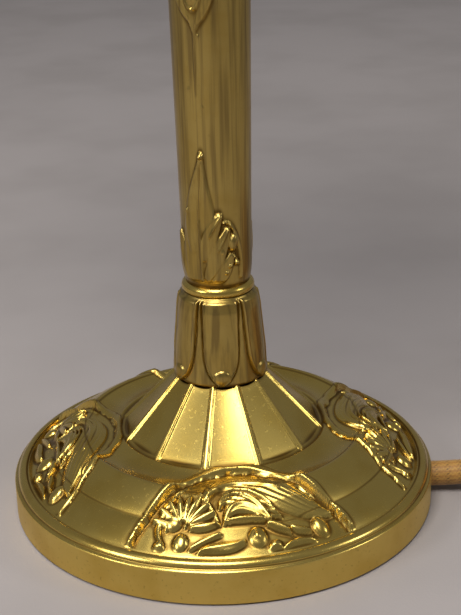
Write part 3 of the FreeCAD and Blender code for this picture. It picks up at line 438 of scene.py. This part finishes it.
def woven_cord():
    side, up = tube_frames(cord_line)
    angle = np.linspace(0, 2 * math.pi, SLEEVE_POINTS, endpoint=False)[None, :]
    along = (np.arange(len(cord_line)) * 0.7 / THREAD_PITCH * 2 * math.pi)[:, None]
    left, right = THREADS * (angle + along) / 2, THREADS * (angle - along) / 2
    over = 0.5 + 0.5 * np.sin(left) * np.sin(right)
    thread_left, thread_right = np.abs(np.cos(left)) ** 0.6, np.abs(np.cos(right)) ** 0.6
    crown = np.maximum(thread_left * (0.55 + 0.45 * over), thread_right * (1 - 0.45 * over))
    climb = (thread_left * (0.55 + 0.45 * over) > thread_right * (1 - 0.45 * over)).astype(float)
    radius = CORD_RADIUS - 0.42 + 0.40 * crown
    points = (cord_line[:, None, :] + radius[..., None] * (np.cos(angle)[..., None] * side[:, None, :]
                                                           + np.sin(angle)[..., None] * up[:, None, :]))
    points[..., 2] = np.maximum(points[..., 2], 0.05)
    start, end = np.repeat(cord_line[:1], SLEEVE_POINTS, 0), np.repeat(cord_line[-1:], SLEEVE_POINTS, 0)
    points = np.concatenate([start[None], points, end[None]])
    pad = lambda v: np.concatenate([v[:1], v, v[-1:]])
    return grid_piece("braided_cord", points, "gold_braid", "lamp",
                      ("cord_lead", "cord_link", "cord_coil", "cord_tail"), {"crown": pad(crown), "climb": pad(climb)})


cord = woven_cord()
nodes = frame["nodes"]

# %% [markdown]
# ## Outlines for turned work
# A turned part is an outline of radius and height, spun about the lamp's axis. The outlines are given as a few
# corners. `rounded` eases every corner with a small curve, as a file and a buffing wheel do, and fills the runs
# between with points, so that relief can be pressed into them.

# %% Helpers for outlines
def bowed(start, end, bow, count=14):
    """Points from start to just before end, on a shallow arc that stands out by bow to the left of the way."""
    start, end = np.array(start, float), np.array(end, float)
    t = np.linspace(0, 1, count, endpoint=False)[:, None]
    left = np.array([-(end - start)[1], (end - start)[0]]) / np.linalg.norm(end - start)
    return start + (end - start) * t + left * bow * 4 * t * (1 - t)


def rounded(corners, ease=0.25, pitch=0.6, closed=True):
    """corners are (radius, height) or (radius, height, bow of the run that follows)."""
    line = []
    for i, corner in enumerate(corners):
        after = corners[(i + 1) % len(corners)]
        if len(corner) > 2 and (closed or i + 1 < len(corners)):
            line += [tuple(p) for p in bowed(corner[:2], after[:2], corner[2])]
        else:
            line.append(tuple(corner[:2]))
    line = np.array(line, float)
    made = []
    for i, p in enumerate(line):
        if not closed and i in (0, len(line) - 1):
            made.append(p)
            continue
        before, after = line[i - 1] - p, line[(i + 1) % len(line)] - p
        lb, la = np.linalg.norm(before), np.linalg.norm(after)
        a, b = p + before / lb * min(ease, 0.4 * lb), p + after / la * min(ease, 0.4 * la)
        made += [a, 0.25 * a + 0.5 * p + 0.25 * b, b]
    filled = []
    for i, p in enumerate(made):
        after = made[(i + 1) % len(made)]
        if not closed and i == len(made) - 1:
            filled.append(p)
            break
        steps = max(1, math.ceil(np.linalg.norm(after - p) / pitch))
        filled += [p + (after - p) * k / steps for k in range(steps)]
    return np.array(filled)


def spun(outline, columns):
    """The grid of points that an outline sweeps, and its outward normals, column 0 at the front."""
    around = np.linspace(0, 2 * math.pi, columns, endpoint=False)
    ahead = np.roll(outline, -1, 0) - np.roll(outline, 1, 0)
    normal = np.stack([ahead[:, 1], -ahead[:, 0]], 1) / np.maximum(np.linalg.norm(ahead, axis=1), 1e-9)[:, None]
    s, c = np.sin(around)[None, :], -np.cos(around)[None, :]
    lay = lambda pair: np.stack([pair[:, :1] * s, pair[:, :1] * c, np.repeat(pair[:, 1:], columns, 1)], -1)
    return lay(outline), lay(normal), around


def hollows(height, reach, depth):
    """How deep each point of a relief lies below its neighbours: 0 on open metal, 1 in a deep crease."""
    soft = height
    for step in range(1, reach + 1):
        soft = (soft + np.roll(soft, step, 0) + np.roll(soft, -step, 0)
                + np.roll(soft, step, 1) + np.roll(soft, -step, 1)) / 5
    return np.clip((soft - height) / depth, 0, 1)


# %% [markdown]
# ## The chaser's tools
# All the ornament is low relief in the style of pressed leaves. It could be sculpted by hand, but a lesson should be
# repeatable, so a few strokes do it: a bead, a ridge along a curve, and a leaf whose width changes along its spine
# and whose face is ribbed. Each stroke works out a height over a flat sheet, and the highest stroke wins, just as
# overlapping leaves do.

# %% Helpers for relief
def step_up(x, low, high):
    t = np.clip((x - low) / (high - low), 0, 1)
    return t * t * (3 - 2 * t)


def softened(height, times):
    """The same relief after a light rub, which rounds its edges."""
    for _ in range(times):
        height = (4 * height + np.roll(height, 1, 1) + np.roll(height, -1, 1)
                  + np.roll(height, 1, 0) + np.roll(height, -1, 0)) / 8
    return height


class Relief:
    """Heights in millimetres over a sheet whose points are across and up."""

    def __init__(self, across, up):
        self.x, self.y = across, up
        self.height = np.zeros_like(across)

    def press(self, shape):
        self.height = np.maximum(self.height, shape)

    def bead(self, x, y, size, height, stretch=1.0, lean=0.0):
        """A round boss, or an oval one whose long way leans from upright by that many degrees."""
        c, s = math.cos(math.radians(lean)), math.sin(math.radians(lean))
        dx, dy = self.x - x, self.y - y
        far = ((dx * c - dy * s) / size) ** 2 + ((dx * s + dy * c) / (size * stretch)) ** 2
        self.press(height * np.sqrt(np.clip(1 - far, 0, 1)))

    def follow(self, spine):
        """For every point, how far along a smooth spine it is (0 to 1) and how far to its right."""
        spine = np.array(spine, float)
        knots = np.arange(len(spine))
        fine = np.linspace(0, len(spine) - 1, 8 * len(spine))
        if len(spine) > 2:
            fit = np.polyfit(knots, spine, min(3, len(spine) - 1))
            line = sum(fit[-1 - k] * fine[:, None] ** k for k in range(len(fit)))
        else:
            line = np.stack([np.interp(fine, knots, spine[:, k]) for k in range(spine.shape[1])], 1)
        best = np.full(self.x.shape, 1e9)
        along, aside = np.zeros_like(best), np.zeros_like(best)
        for i in range(len(line) - 1):
            a, d = line[i, :2], line[i + 1, :2] - line[i, :2]
            long = max(float(d @ d), 1e-12)
            t = np.clip(((self.x - a[0]) * d[0] + (self.y - a[1]) * d[1]) / long, 0, 1)
            dx, dy = self.x - a[0] - t * d[0], self.y - a[1] - t * d[1]
            far = np.hypot(dx, dy)
            near = far < best
            best = np.where(near, far, best)
            along = np.where(near, (i + t) / (len(line) - 1), along)
            aside = np.where(near, np.where(dx * d[1] - dy * d[0] > 0, far, -far), aside)
        return along, aside, np.interp(np.linspace(0, 1, len(line)), np.linspace(0, 1, len(line)), line[:, -1])

    def ridge(self, spine, height):
        """A rounded ridge: its spine is (x, y, half width) points."""
        along, aside, width = self.follow(spine)
        half = np.maximum(np.interp(along, np.linspace(0, 1, len(width)), width), 0.05)
        self.press(height * np.sqrt(np.clip(1 - (aside / half) ** 2, 0, 1)))

    def leaf(self, spine, height, ribs=0, rib=0.2, cup=0.0):
        """A leaf with that many ribs across it. cup sinks its middle, so that its edges stand up."""
        along, aside, width = self.follow(spine)
        half = np.maximum(np.interp(along, np.linspace(0, 1, len(width)), width), 0.05)
        u = aside / half
        body = np.clip(1 - u * u, 0, 1) ** 0.42
        face = height * body * (1 - cup * np.clip(1 - 1.6 * u * u, 0, 1))
        if ribs:
            face = face + rib * np.cos(2 * math.pi * ribs * u / 2) * body * step_up(along, 0.0, 0.2)
        self.press(np.where(np.abs(u) < 1, face, 0))


# %% [markdown]
# ## The foot
# The foot is a hollow casting. From its rim inwards it has a plain upright band, a beaded edge, a dome with two
# steps, and a cone of twelve flutes that carries the collar. Four D-shaped panels of leaves interrupt the dome. The
# foot's outline is spun into a fine grid, and then each point moves: up or down inside the panels, and along the
# surface's normal on the cone.

# %% Draw one leaf panel
PANEL_HALF_WIDTH, PANEL_REACH, PANEL_LINE = 34.0, 27.5, 60.0


def leaf_panel(across, inward):
    """The ornament of one panel: a striped fan with a bud, nested arches, a long leaf to the right, and berries."""
    sheet = Relief(across, inward)
    sheet.leaf([(-9, 15.5, 1.0), (-4.5, 19.6, 3.2), (2.5, 20.4, 4.2), (11, 16.6, 4.6), (18, 13.2, 3.4),
                (26.2, 12.2, 0.4)], 1.9, ribs=6, rib=0.22)
    sheet.ridge([(-8.4, 16.0, 0.7), (-4.8, 18.6, 0.9), (-0.5, 19.5, 1.0), (5, 18.9, 0.9), (11.5, 17.0, 0.5)], 2.7)
    for lift in range(4):
        sheet.ridge([(-5.5, 13.5 - lift * 0.4, 0.4), (-0.5, 17.0 - 1.3 * lift, 0.5), (5.5, 15.0 - 1.5 * lift, 0.55),
                     (9.5 + 0.6 * lift, 11.6 - 0.6 * lift, 0.4)], 2.15 - 0.08 * lift)
    sheet.leaf([(-4.5, 8.6, 0.5), (-1.5, 12.2, 2.2), (2.2, 12.8, 2.5), (5.5, 10.8, 2.0), (7.8, 8.6, 0.6)], 1.9,
               ribs=3, rib=0.25)
    sheet.ridge([(1.4, 15.0, 0.5), (4.0, 13.6, 0.7), (6.3, 11.2, 0.8), (8.2, 8.6, 0.8)], 2.6)
    sheet.ridge([(-3.4, 8.6, 0.5), (1.0, 8.9, 0.7), (6.4, 8.8, 0.8)], 2.2)
    for turn in range(9):
        angle = math.radians(148 - 19 * turn)
        c, s = math.cos(angle), math.sin(angle)
        sheet.leaf([(-16.5 + 2.4 * c, 8.8 + 2.4 * s, 0.5), (-16.4 + 6.0 * c, 8.8 + 6.0 * s, 1.15),
                    (-16.2 + 9.4 * c, 9.0 + 8.4 * s, 0.5)], 1.9 + 0.25 * (turn % 2), ribs=1, rib=0.2)
    sheet.ridge([(-22.5, 6.8, 0.6), (-23.2, 10.5, 0.9), (-21.4, 14.2, 0.9), (-17.6, 17.6, 0.4)], 1.5)
    sheet.ridge([(-14.2, 21.2, 0.4), (-17.5, 19.2, 1.2), (-21.0, 16.0, 0.5)], 1.2)
    sheet.bead(-18.6, 11.4, 2.5, 2.3, 0.9)
    sheet.ridge([(-21.0, 10.0, 0.4), (-19.2, 14.2, 0.6), (-15.8, 12.6, 0.6), (-15.6, 9.6, 0.4)], 1.7)
    sheet.bead(-17.4, 5.9, 2.1, 1.9, 1.1, 20)
    sheet.bead(-23.4, 6.2, 1.5, 1.8, 1.2, -20)
    sheet.ridge([(-14.8, 3.4, 0.5), (-11.0, 4.6, 0.9), (-6.4, 5.8, 0.6)], 1.8)
    sheet.leaf([(-12.5, 1.8, 0.8), (-8.5, 2.3, 1.5), (-3.6, 2.4, 1.4), (0.2, 3.4, 0.6)], 1.9, ribs=2)
    sheet.bead(4.2, 4.6, 2.7, 1.9)
    sheet.bead(4.0, 4.2, 1.3, 2.5)
    sheet.bead(9.0, 2.0, 1.7, 1.9, 1.2, 60)
    sheet.leaf([(7.4, 7.4, 0.4), (10.2, 7.0, 1.3), (13.4, 5.6, 0.5)], 2.4, ribs=1)
    sheet.leaf([(13.8, 7.0, 0.4), (16.2, 6.4, 1.1), (19.4, 6.3, 0.4)], 2.0, ribs=1)
    sheet.bead(22.4, 8.2, 2.2, 2.2, 1.25, -40)
    sheet.leaf([(11.5, 1.6, 0.5), (15.5, 3.4, 1.2), (20.6, 4.2, 0.4)], 1.4, ribs=1)
    sheet.leaf([(17.4, 19.4, 0.4), (19.8, 17.4, 1.2), (22.8, 16.8, 0.5)], 1.8)
    sheet.ridge([(22.6, 17.6, 0.5), (24.0, 15.6, 0.7), (25.6, 14.6, 0.4)], 1.4)
    sheet.ridge([(-10.5, 17.6, 0.4), (-8.0, 13.0, 0.5), (-6.2, 8.4, 0.5)], 1.2)
    return sheet.height


# %% Build the foot
FOOT_COLUMNS = 1200
outer = [(65, 0.5), (65, 10.3), (64.6, 10.7), (63.9, 11.0), (63.9, 11.5, -0.55), (61.4, 12.8), (61.3, 12.3),
         (60.6, 12.9, -0.5), (52.6, 18.1), (52.1, 18.6, -0.5), (43.8, 24.5), (43.0, 24.4), (42.2, 24.0, 0.9),
         (33.4, 23.9), (32.2, 24.4), (31.2, 23.8), (13.9, 42.0)]
inner = [(5.25, 42.0), (5.25, 37.2), (9.4, 37.0), (26.5, 19.6), (38.0, 19.4), (48.0, 13.8), (58.5, 8.8),
         (61.0, 6.6), (61.0, 2.2), (62.5, 1.8), (62.5, 0.5)]


def foot():
    outline = np.concatenate([rounded(outer, 0.22, 0.35, closed=False), rounded(inner, 0.3, 5.0, closed=False)])
    points, normal, around = spun(outline, FOOT_COLUMNS)
    radius, level = outline[:, 0], outline[:, 1]
    wall = np.interp(radius, (13.9, 31.2), (42.0, 23.8)) - 1.4
    on_cone = (radius < 31.25) & (radius > 13.8) & (level > wall)
    dome = np.interp(radius, (31.2, 42, 52, 60.6), (19.0, 20.0, 14.4, 9.8))
    on_dome = (radius >= 31.25) & (radius < 61.2) & (level > dome)
    height = np.zeros(points.shape[:2])

    pitch = 2 * math.pi / 12
    swing = np.abs((around + pitch / 2) % pitch - pitch / 2)
    r = radius[on_cone][:, None]
    part = step_up(r, 13.9, 31.2)
    half = pitch / 2 - (0.75 + 0.35 * part) / r
    flat = r * (np.cos(half) / np.cos(np.minimum(swing[None, :], half)) - 1)
    inside = step_up(half * r - swing[None, :] * r, -0.25, 0.35)
    rib = np.clip(1 - ((pitch / 2 - swing[None, :]) * r / (0.50 + 0.25 * part)) ** 2, 0, 1) ** 0.5
    height[on_cone] = (flat - 0.30) * inside * step_up(32 - r, 0.8, 1.8) + 0.30 * rib - 0.05

    quarter = FOOT_COLUMNS // 4
    local = (around[:quarter] - math.pi / 4)[None, :]
    r = radius[on_dome][:, None]
    across, inward = r * np.sin(local), PANEL_LINE - r * np.cos(local)
    rim = (60.55 - r) + 0 * local
    climb = np.interp(inward / PANEL_REACH, (0, 0.21, 0.43, 0.61, 0.79, 1.0, 1.25), (0, 0.27, 0.54, 0.74, 0.88, 1.0, 1.14))
    inside_arch = 1 - np.sqrt((across / PANEL_HALF_WIDTH) ** 2 + climb ** 2)
    away = np.minimum(inside_arch * PANEL_REACH, rim)
    wobble = 0.14 * np.sin(across * 0.9) + 0.10 * np.sin(across * 1.7 + inward)
    bed = np.interp(radius[on_dome], (32, 36, 40, 43.8, 48, 52.6, 56.5, 60.6),
                    (23.9, 23.5, 23.6, 23.2, 21.0, 17.6, 15.2, 12.5))[:, None]
    ornament = softened(0.78 * leaf_panel(across, inward), 2) * step_up(away, 0.6, 1.8)
    panel = bed - 0.7 + ornament
    mask = step_up(away, -0.1, 0.35)
    lift = (panel - level[on_dome][:, None]) * mask
    border = inside_arch * (PANEL_REACH + 5) + 0.5
    edge = 0.95 * np.clip(1 - (border / (1.05 + wobble)) ** 2, 0, 1) ** 0.5 * step_up(rim, -0.2, 0.9)
    lift = lift + edge
    shift = FOOT_COLUMNS // 8
    lift = np.roll(np.tile(lift, (1, 4)), shift, 1)
    relief_only = np.roll(np.tile((ornament - 0.3) * mask + edge, (1, 4)), shift, 1)

    points = points + normal * height[..., None]
    rows = np.where(on_dome)[0]
    points[rows, :, 2] += lift
    height[rows] = relief_only
    groove = hollows(height, 4, 0.35)
    matt = np.repeat(((radius > 64.4) & (level < 10.4)).astype(float)[:, None], FOOT_COLUMNS, 1)
    # Painted shade: a dark band along each inner corner of the outline, added on top of the patina in the relief's
    # hollows.
    for r0, z0, wide in ((61.35, 12.3, 0.7), (63.9, 11.1, 0.4), (52.4, 18.3, 0.4), (42.6, 24.1, 0.5), (31.3, 23.8, 0.9)):
        crease = np.exp(-((radius - r0) ** 2 + (level - z0) ** 2) / wide ** 2)[:, None]
        groove = np.maximum(groove, 0.7 * crease)
    return grid_piece("leafy_foot", points, "polished_brass", "lamp", ("foot_casting",),
                      {"hollow": groove, "matt": matt}, round_rows=True)


foot()

# %% [markdown]
# ## The petal collar
# Six upright petals stand round the collar, each with a rolled edge and a swollen tip at the bottom, and a narrow
# dart fills each gap between two. The relief is drawn once for one petal and repeated, because the grid's columns
# divide by six.

# %% Build the collar
COLLAR_COLUMNS = 480
PETAL_TURN = math.radians(-3.4)


def petal_collar():
    outline = rounded([(5.25, 42.0), (13.9, 42.0), (13.76, 44.8), (13.22, 51.4), (12.5, 58), (11.9, 64.5),
                       (11.25, 67.8), (10.55, 69.0), (10.25, 68.4), (10.25, 66.0), (5.25, 66.0)], 0.25, 0.3)
    points, normal, around = spun(outline, COLLAR_COLUMNS)
    radius, level = outline[:, 0], outline[:, 1]
    face = (radius > 10.5) & (level > 42.05) & (level < 69)
    z = level[face][:, None]
    pitch = math.pi / 3
    swing = ((around - PETAL_TURN + pitch / 2) % pitch - pitch / 2)[None, :]
    x = radius[face][:, None] * swing
    half = 5.35 * np.sqrt(np.clip(1 - (np.clip(53 - z, 0, 10.2) / 10.4) ** 2, 0.001, 1))
    u = np.abs(x) / half
    petal = 0.45 + 0.25 * np.clip(1 - u * u, 0, 1) + 0.30 * np.exp(-((np.abs(x) - half + 0.6) / 0.3) ** 2)
    groove = np.exp(-((np.abs(x) - half - 0.1) / 0.26) ** 2)
    tip = 0.75 * np.sqrt(np.clip(1 - (x / 2.6) ** 2 - ((z - 45.0) / 2.3) ** 2, 0, 1))
    middle = radius[face][:, None] * (pitch / 2 - np.abs(swing))
    dart = 0.5 * np.exp(-(middle / (0.35 + 0.11 * np.clip(60 - z, 0, 16))) ** 2)
    petal = petal * step_up(half - np.abs(x), -0.05, 0.35) + tip
    relief = np.where(np.abs(x) < half, petal, dart) - 0.40 * groove
    relief = relief * step_up(68.4 - z, 0, 1.2) * step_up(z, 42.0, 42.6)
    height = np.zeros(points.shape[:2])
    height[face] = relief
    points = points + normal * height[..., None]
    groove_all = 0.45 * hollows(height, 5, 0.5)
    # Painted shade: dark bands where the collar meets the foot and in its mouth under the ring, added to the patina of
    # the petal grooves.
    crease = np.exp(-((level - 42) / 0.8) ** 2)[:, None] + 0.8 * np.exp(-((level - 67) ** 2 + (radius - 10) ** 2))[:, None]
    return grid_piece("petal_sleeve", points, "column_brass", "lamp", ("petal_collar",),
                      numbers={"hollow": np.clip(groove_all + crease, 0, 1), "matt": 0 * height}, round_rows=True)


petal_collar()

# %% [markdown]
# ## The bright ring
# A half-round ring sits in the collar's mouth and carries the stem. It could be a torus with a sleeve under it, but
# one turned outline gives both, and its full round catches the light just under the stem's foot.

# %% Turn the ring
def bright_ring():
    outline = rounded([(5.25, 66.0), (10.1, 66.0), (10.15, 68.7), (10.75, 69.3), (10.95, 70.1), (10.75, 71.0),
                       (10.2, 71.7), (9.6, 72.0), (5.25, 72.0)], 0.25, 0.3)
    points, _, _ = spun(outline, 240)
    none = np.zeros(points.shape[:2])
    return grid_piece("round_ring", points, "polished_brass", "lamp", ("astragal", "neck_ring"),
                      {"hollow": none, "matt": none}, round_rows=True)


bright_ring()

# %% [markdown]
# ## The stem
# The stem is a plain tapered column with two bands of leaves in low relief: two leaves that climb from its foot,
# each ending in a bead, and two that hang from higher up. The column could carry them as separate castings, but
# on the lamp they rise out of the metal, so they are part of its own skin.

# %% Draw the climbing leaf and the hanging leaf
def climbing_leaf(sheet):
    """x is measured from the leaf's midrib, and y is the height on the lamp."""
    sheet.leaf([(0.4, 73.5, 4.6), (-0.2, 82, 6.0), (-0.7, 90, 5.6), (-0.6, 98, 4.0), (0.0, 105, 2.3),
                (0.6, 112, 0.6)], 1.15, cup=0.55)
    sheet.leaf([(-3.5, 73.5, 2.5), (-6.6, 79, 3.0), (-8.0, 84, 2.2), (-8.6, 88.5, 0.4)], 0.8, ribs=2, rib=0.12)
    sheet.leaf([(-2.6, 84, 1.6), (-4.0, 90, 1.8), (-4.1, 95.4, 0.5)], 0.95, ribs=1, rib=0.12)
    sheet.leaf([(0.8, 82, 1.4), (2.6, 88.5, 2.3), (5.3, 94.2, 1.1)], 1.45, cup=0.35)
    sheet.leaf([(1.8, 76, 1.4), (4.6, 82.5, 2.4), (7.4, 90, 1.0)], 1.35, cup=0.4)
    sheet.leaf([(3.6, 73.5, 1.4), (6.4, 77.5, 2.0), (8.4, 82, 1.0)], 1.15, cup=0.35)
    sheet.ridge([(2.4, 88.2, 0.3), (4.2, 92.0, 0.55), (5.5, 94.0, 0.6)], 1.6)
    sheet.ridge([(4.8, 84.0, 0.3), (6.6, 88.0, 0.5), (7.6, 90.2, 0.4)], 1.4)
    sheet.ridge([(6.2, 92.4, 0.3), (8.6, 91.0, 0.5), (10.6, 87.0, 0.6), (11.6, 80.5, 0.6), (11.4, 75.0, 0.3)], 1.0)
    sheet.ridge([(0.2, 74.5, 0.35), (-0.1, 84, 0.45), (-0.5, 93, 0.3)], 1.15)
    sheet.ridge([(-0.6, 94, 0.25), (0.5, 104, 0.5), (0.7, 110.5, 0.5)], 0.95)
    sheet.ridge([(-2.6, 97.5, 0.2), (-1.4, 104, 0.35), (0.2, 111, 0.4)], 0.9)
    sheet.bead(9.1, 86.2, 1.45, 1.7, 2.0, 8)
    sheet.bead(0.6, 112.2, 0.95, 1.7)
    sheet.bead(-4.1, 95.7, 0.8, 1.4, 1.3)
    for x, z, size in ((10.2, 79.9, 0.95), (8.0, 79.2, 0.9), (5.9, 83.5, 0.95), (9.2, 82.0, 0.7), (7.0, 77.2, 0.8)):
        sheet.bead(x, z, size, 1.25)


def hanging_leaf(sheet):
    sheet.leaf([(0, 147.2, 0.4), (0.4, 152, 2.4), (0.3, 158, 4.4), (0, 166, 5.6), (-0.6, 178, 3.4), (-0.6, 192, 0.4)],
               1.1, cup=0.4)
    sheet.leaf([(-1.0, 150.5, 0.4), (-3.6, 155.5, 1.5), (-5.6, 163, 1.6), (-5.2, 170, 0.4)], 1.3, cup=0.3)
    sheet.leaf([(1.0, 149.5, 0.4), (3.0, 153.5, 1.5), (5.2, 161, 1.6), (5.0, 169, 0.4)], 1.3, cup=0.3)
    sheet.bead(0.2, 157.5, 2.0, 1.9, 1.9)
    sheet.ridge([(-2.4, 166, 0.3), (-1.8, 156.5, 0.55), (0.2, 153.6, 0.6), (2.1, 156.5, 0.55), (2.6, 166, 0.3)], 1.7)
    sheet.ridge([(0.2, 147.5, 0.5), (0.0, 140, 0.4), (0.0, 129, 0.15)], 0.4)
    sheet.ridge([(0.2, 160, 0.6), (0, 176, 0.5), (-0.6, 190, 0.3)], 1.4)
    for x, z in ((1.6, 126.0), (-2.2, 131.0), (1.2, 146.0)):
        sheet.bead(x, z, 0.45, 0.4)


# %% Build the stem
STEM_COLUMNS = 480
LEAF_MIDDLE = math.radians(-29.0)


def stem():
    top_of_leaves = 196.0
    there = 10.4 + 2.8 * (top_of_leaves - 90) / 178
    outline = np.concatenate([
        rounded([(9.5, 72.0), (9.9, 73.2, -0.15), (10.4, 80), (10.4, 90), (there, top_of_leaves)], 0.25, 0.42, False),
        rounded([(13.2, 268), (5.25, 268), (5.25, 72.0)], 0.25, 8.0, False),
    ])
    points, normal, around = spun(outline, STEM_COLUMNS)
    radius, level = outline[:, 0], outline[:, 1]
    face = (radius > 9.4) & (level > 72.05) & (level < 267.9)
    side = STEM_COLUMNS // 2
    swing = around[:side] - math.pi / 2
    sheet = Relief(radius[face][:, None] * swing[None, :], np.repeat(level[face][:, None], side, 1))
    climbing_leaf(sheet)
    hanging_leaf(sheet)
    relief = sheet.height * step_up(level[face], 73.2, 75.0)[:, None]
    relief = softened(relief, 2)
    shift = round((LEAF_MIDDLE - math.pi / 2) / (2 * math.pi) * STEM_COLUMNS)
    height = np.zeros(points.shape[:2])
    height[face] = np.roll(np.tile(relief, (1, 2)), shift, 1)
    points = points + normal * height[..., None]
    # Painted shade: a dark band round the stem's foot, where it meets the ring.
    crease = 0.8 * np.exp(-((level - 72.2) / 1.0) ** 2)[:, None]
    return grid_piece("leafy_stem", points, "column_brass", "lamp", ("stem",), round_rows=True,
                      numbers={"hollow": np.clip(hollows(height, 4, 0.4) + crease, 0, 1), "matt": 0 * height})


stem()

# %% [markdown]
# ## Finishes on the parts that keep their own shape
# The gallery, screws, lampholder, bulb, switch and plug are already the right shape in the construction model. They
# stay, and each takes the finish that its slot in the record names.

# %% Dress the remaining parts
def dress():
    for part in frame["record"]["subparts"]:
        for slot in nodes[part["node"]].material_slots:
            slot.material = finishes[part["material_slot"]]


dress()

# %% [markdown]
# ## Floor and light
# The lamp stands on a plain pale floor of a greyish cloth. One large soft lamp hangs high in front, a second fills
# from the left, and a dim even world gives the metal something to mirror.

# %% Lay the floor
def floor():
    finish = Finish("grey_cloth")
    weave = finish.noise(0.9, 4.0)
    clouds = finish.noise(90.0, 3.0)
    finish.set(Base_Color=finish.mix(clouds.over(0.35, 0.7), (0.400, 0.362, 0.350), (0.360, 0.325, 0.312)))
    finish.set(Roughness=0.85 + weave * 0.1)
    finish.bump(weave, 0.05)
    mesh = bpy.data.meshes.new("floor")
    work = bmesh.new()
    bmesh.ops.create_grid(work, x_segments=8, y_segments=8, size=3.0)
    work.to_mesh(mesh)
    work.free()
    ground = bpy.data.objects.new("floor", mesh)
    bpy.context.collection.objects.link(ground)
    ground.location = (0, 0, -0.0002)
    mesh.materials.append(finish.material)


floor()


# %% Hang the lamps
def soft_lamp(name, azimuth, height, distance, size, power, colour=(1, 1, 1)):
    """A square lamp that faces the foot from that azimuth and height, in degrees and metres."""
    a, e = math.radians(azimuth), math.radians(height)
    towards = Vector((math.sin(a) * math.cos(e), -math.cos(a) * math.cos(e), math.sin(e)))
    data = bpy.data.lights.new(name, "AREA")
    data.shape = "SQUARE"
    data.size = size
    data.energy = power
    data.color = colour
    lamp = bpy.data.objects.new(name, data)
    bpy.context.collection.objects.link(lamp)
    lamp.location = towards * distance + Vector((0, 0, 0.05))
    lamp.rotation_euler = towards.to_track_quat("Z", "Y").to_euler()


soft_lamp("key", -24, 64, 1.3, 0.62, 13.0, (1.0, 0.98, 0.95))
soft_lamp("left_fill", -62, 30, 1.5, 0.45, 6.5)
soft_lamp("right_fill", 70, 28, 1.7, 0.30, 3.0)

world = bpy.data.worlds.new("room")
world.use_nodes = True
world.node_tree.nodes["Background"].inputs["Color"].default_value = (0.95, 0.95, 1.0, 1)
world.node_tree.nodes["Background"].inputs["Strength"].default_value = 0.20
bpy.context.scene.world = world
bpy.context.scene.view_settings.view_transform = "Standard"
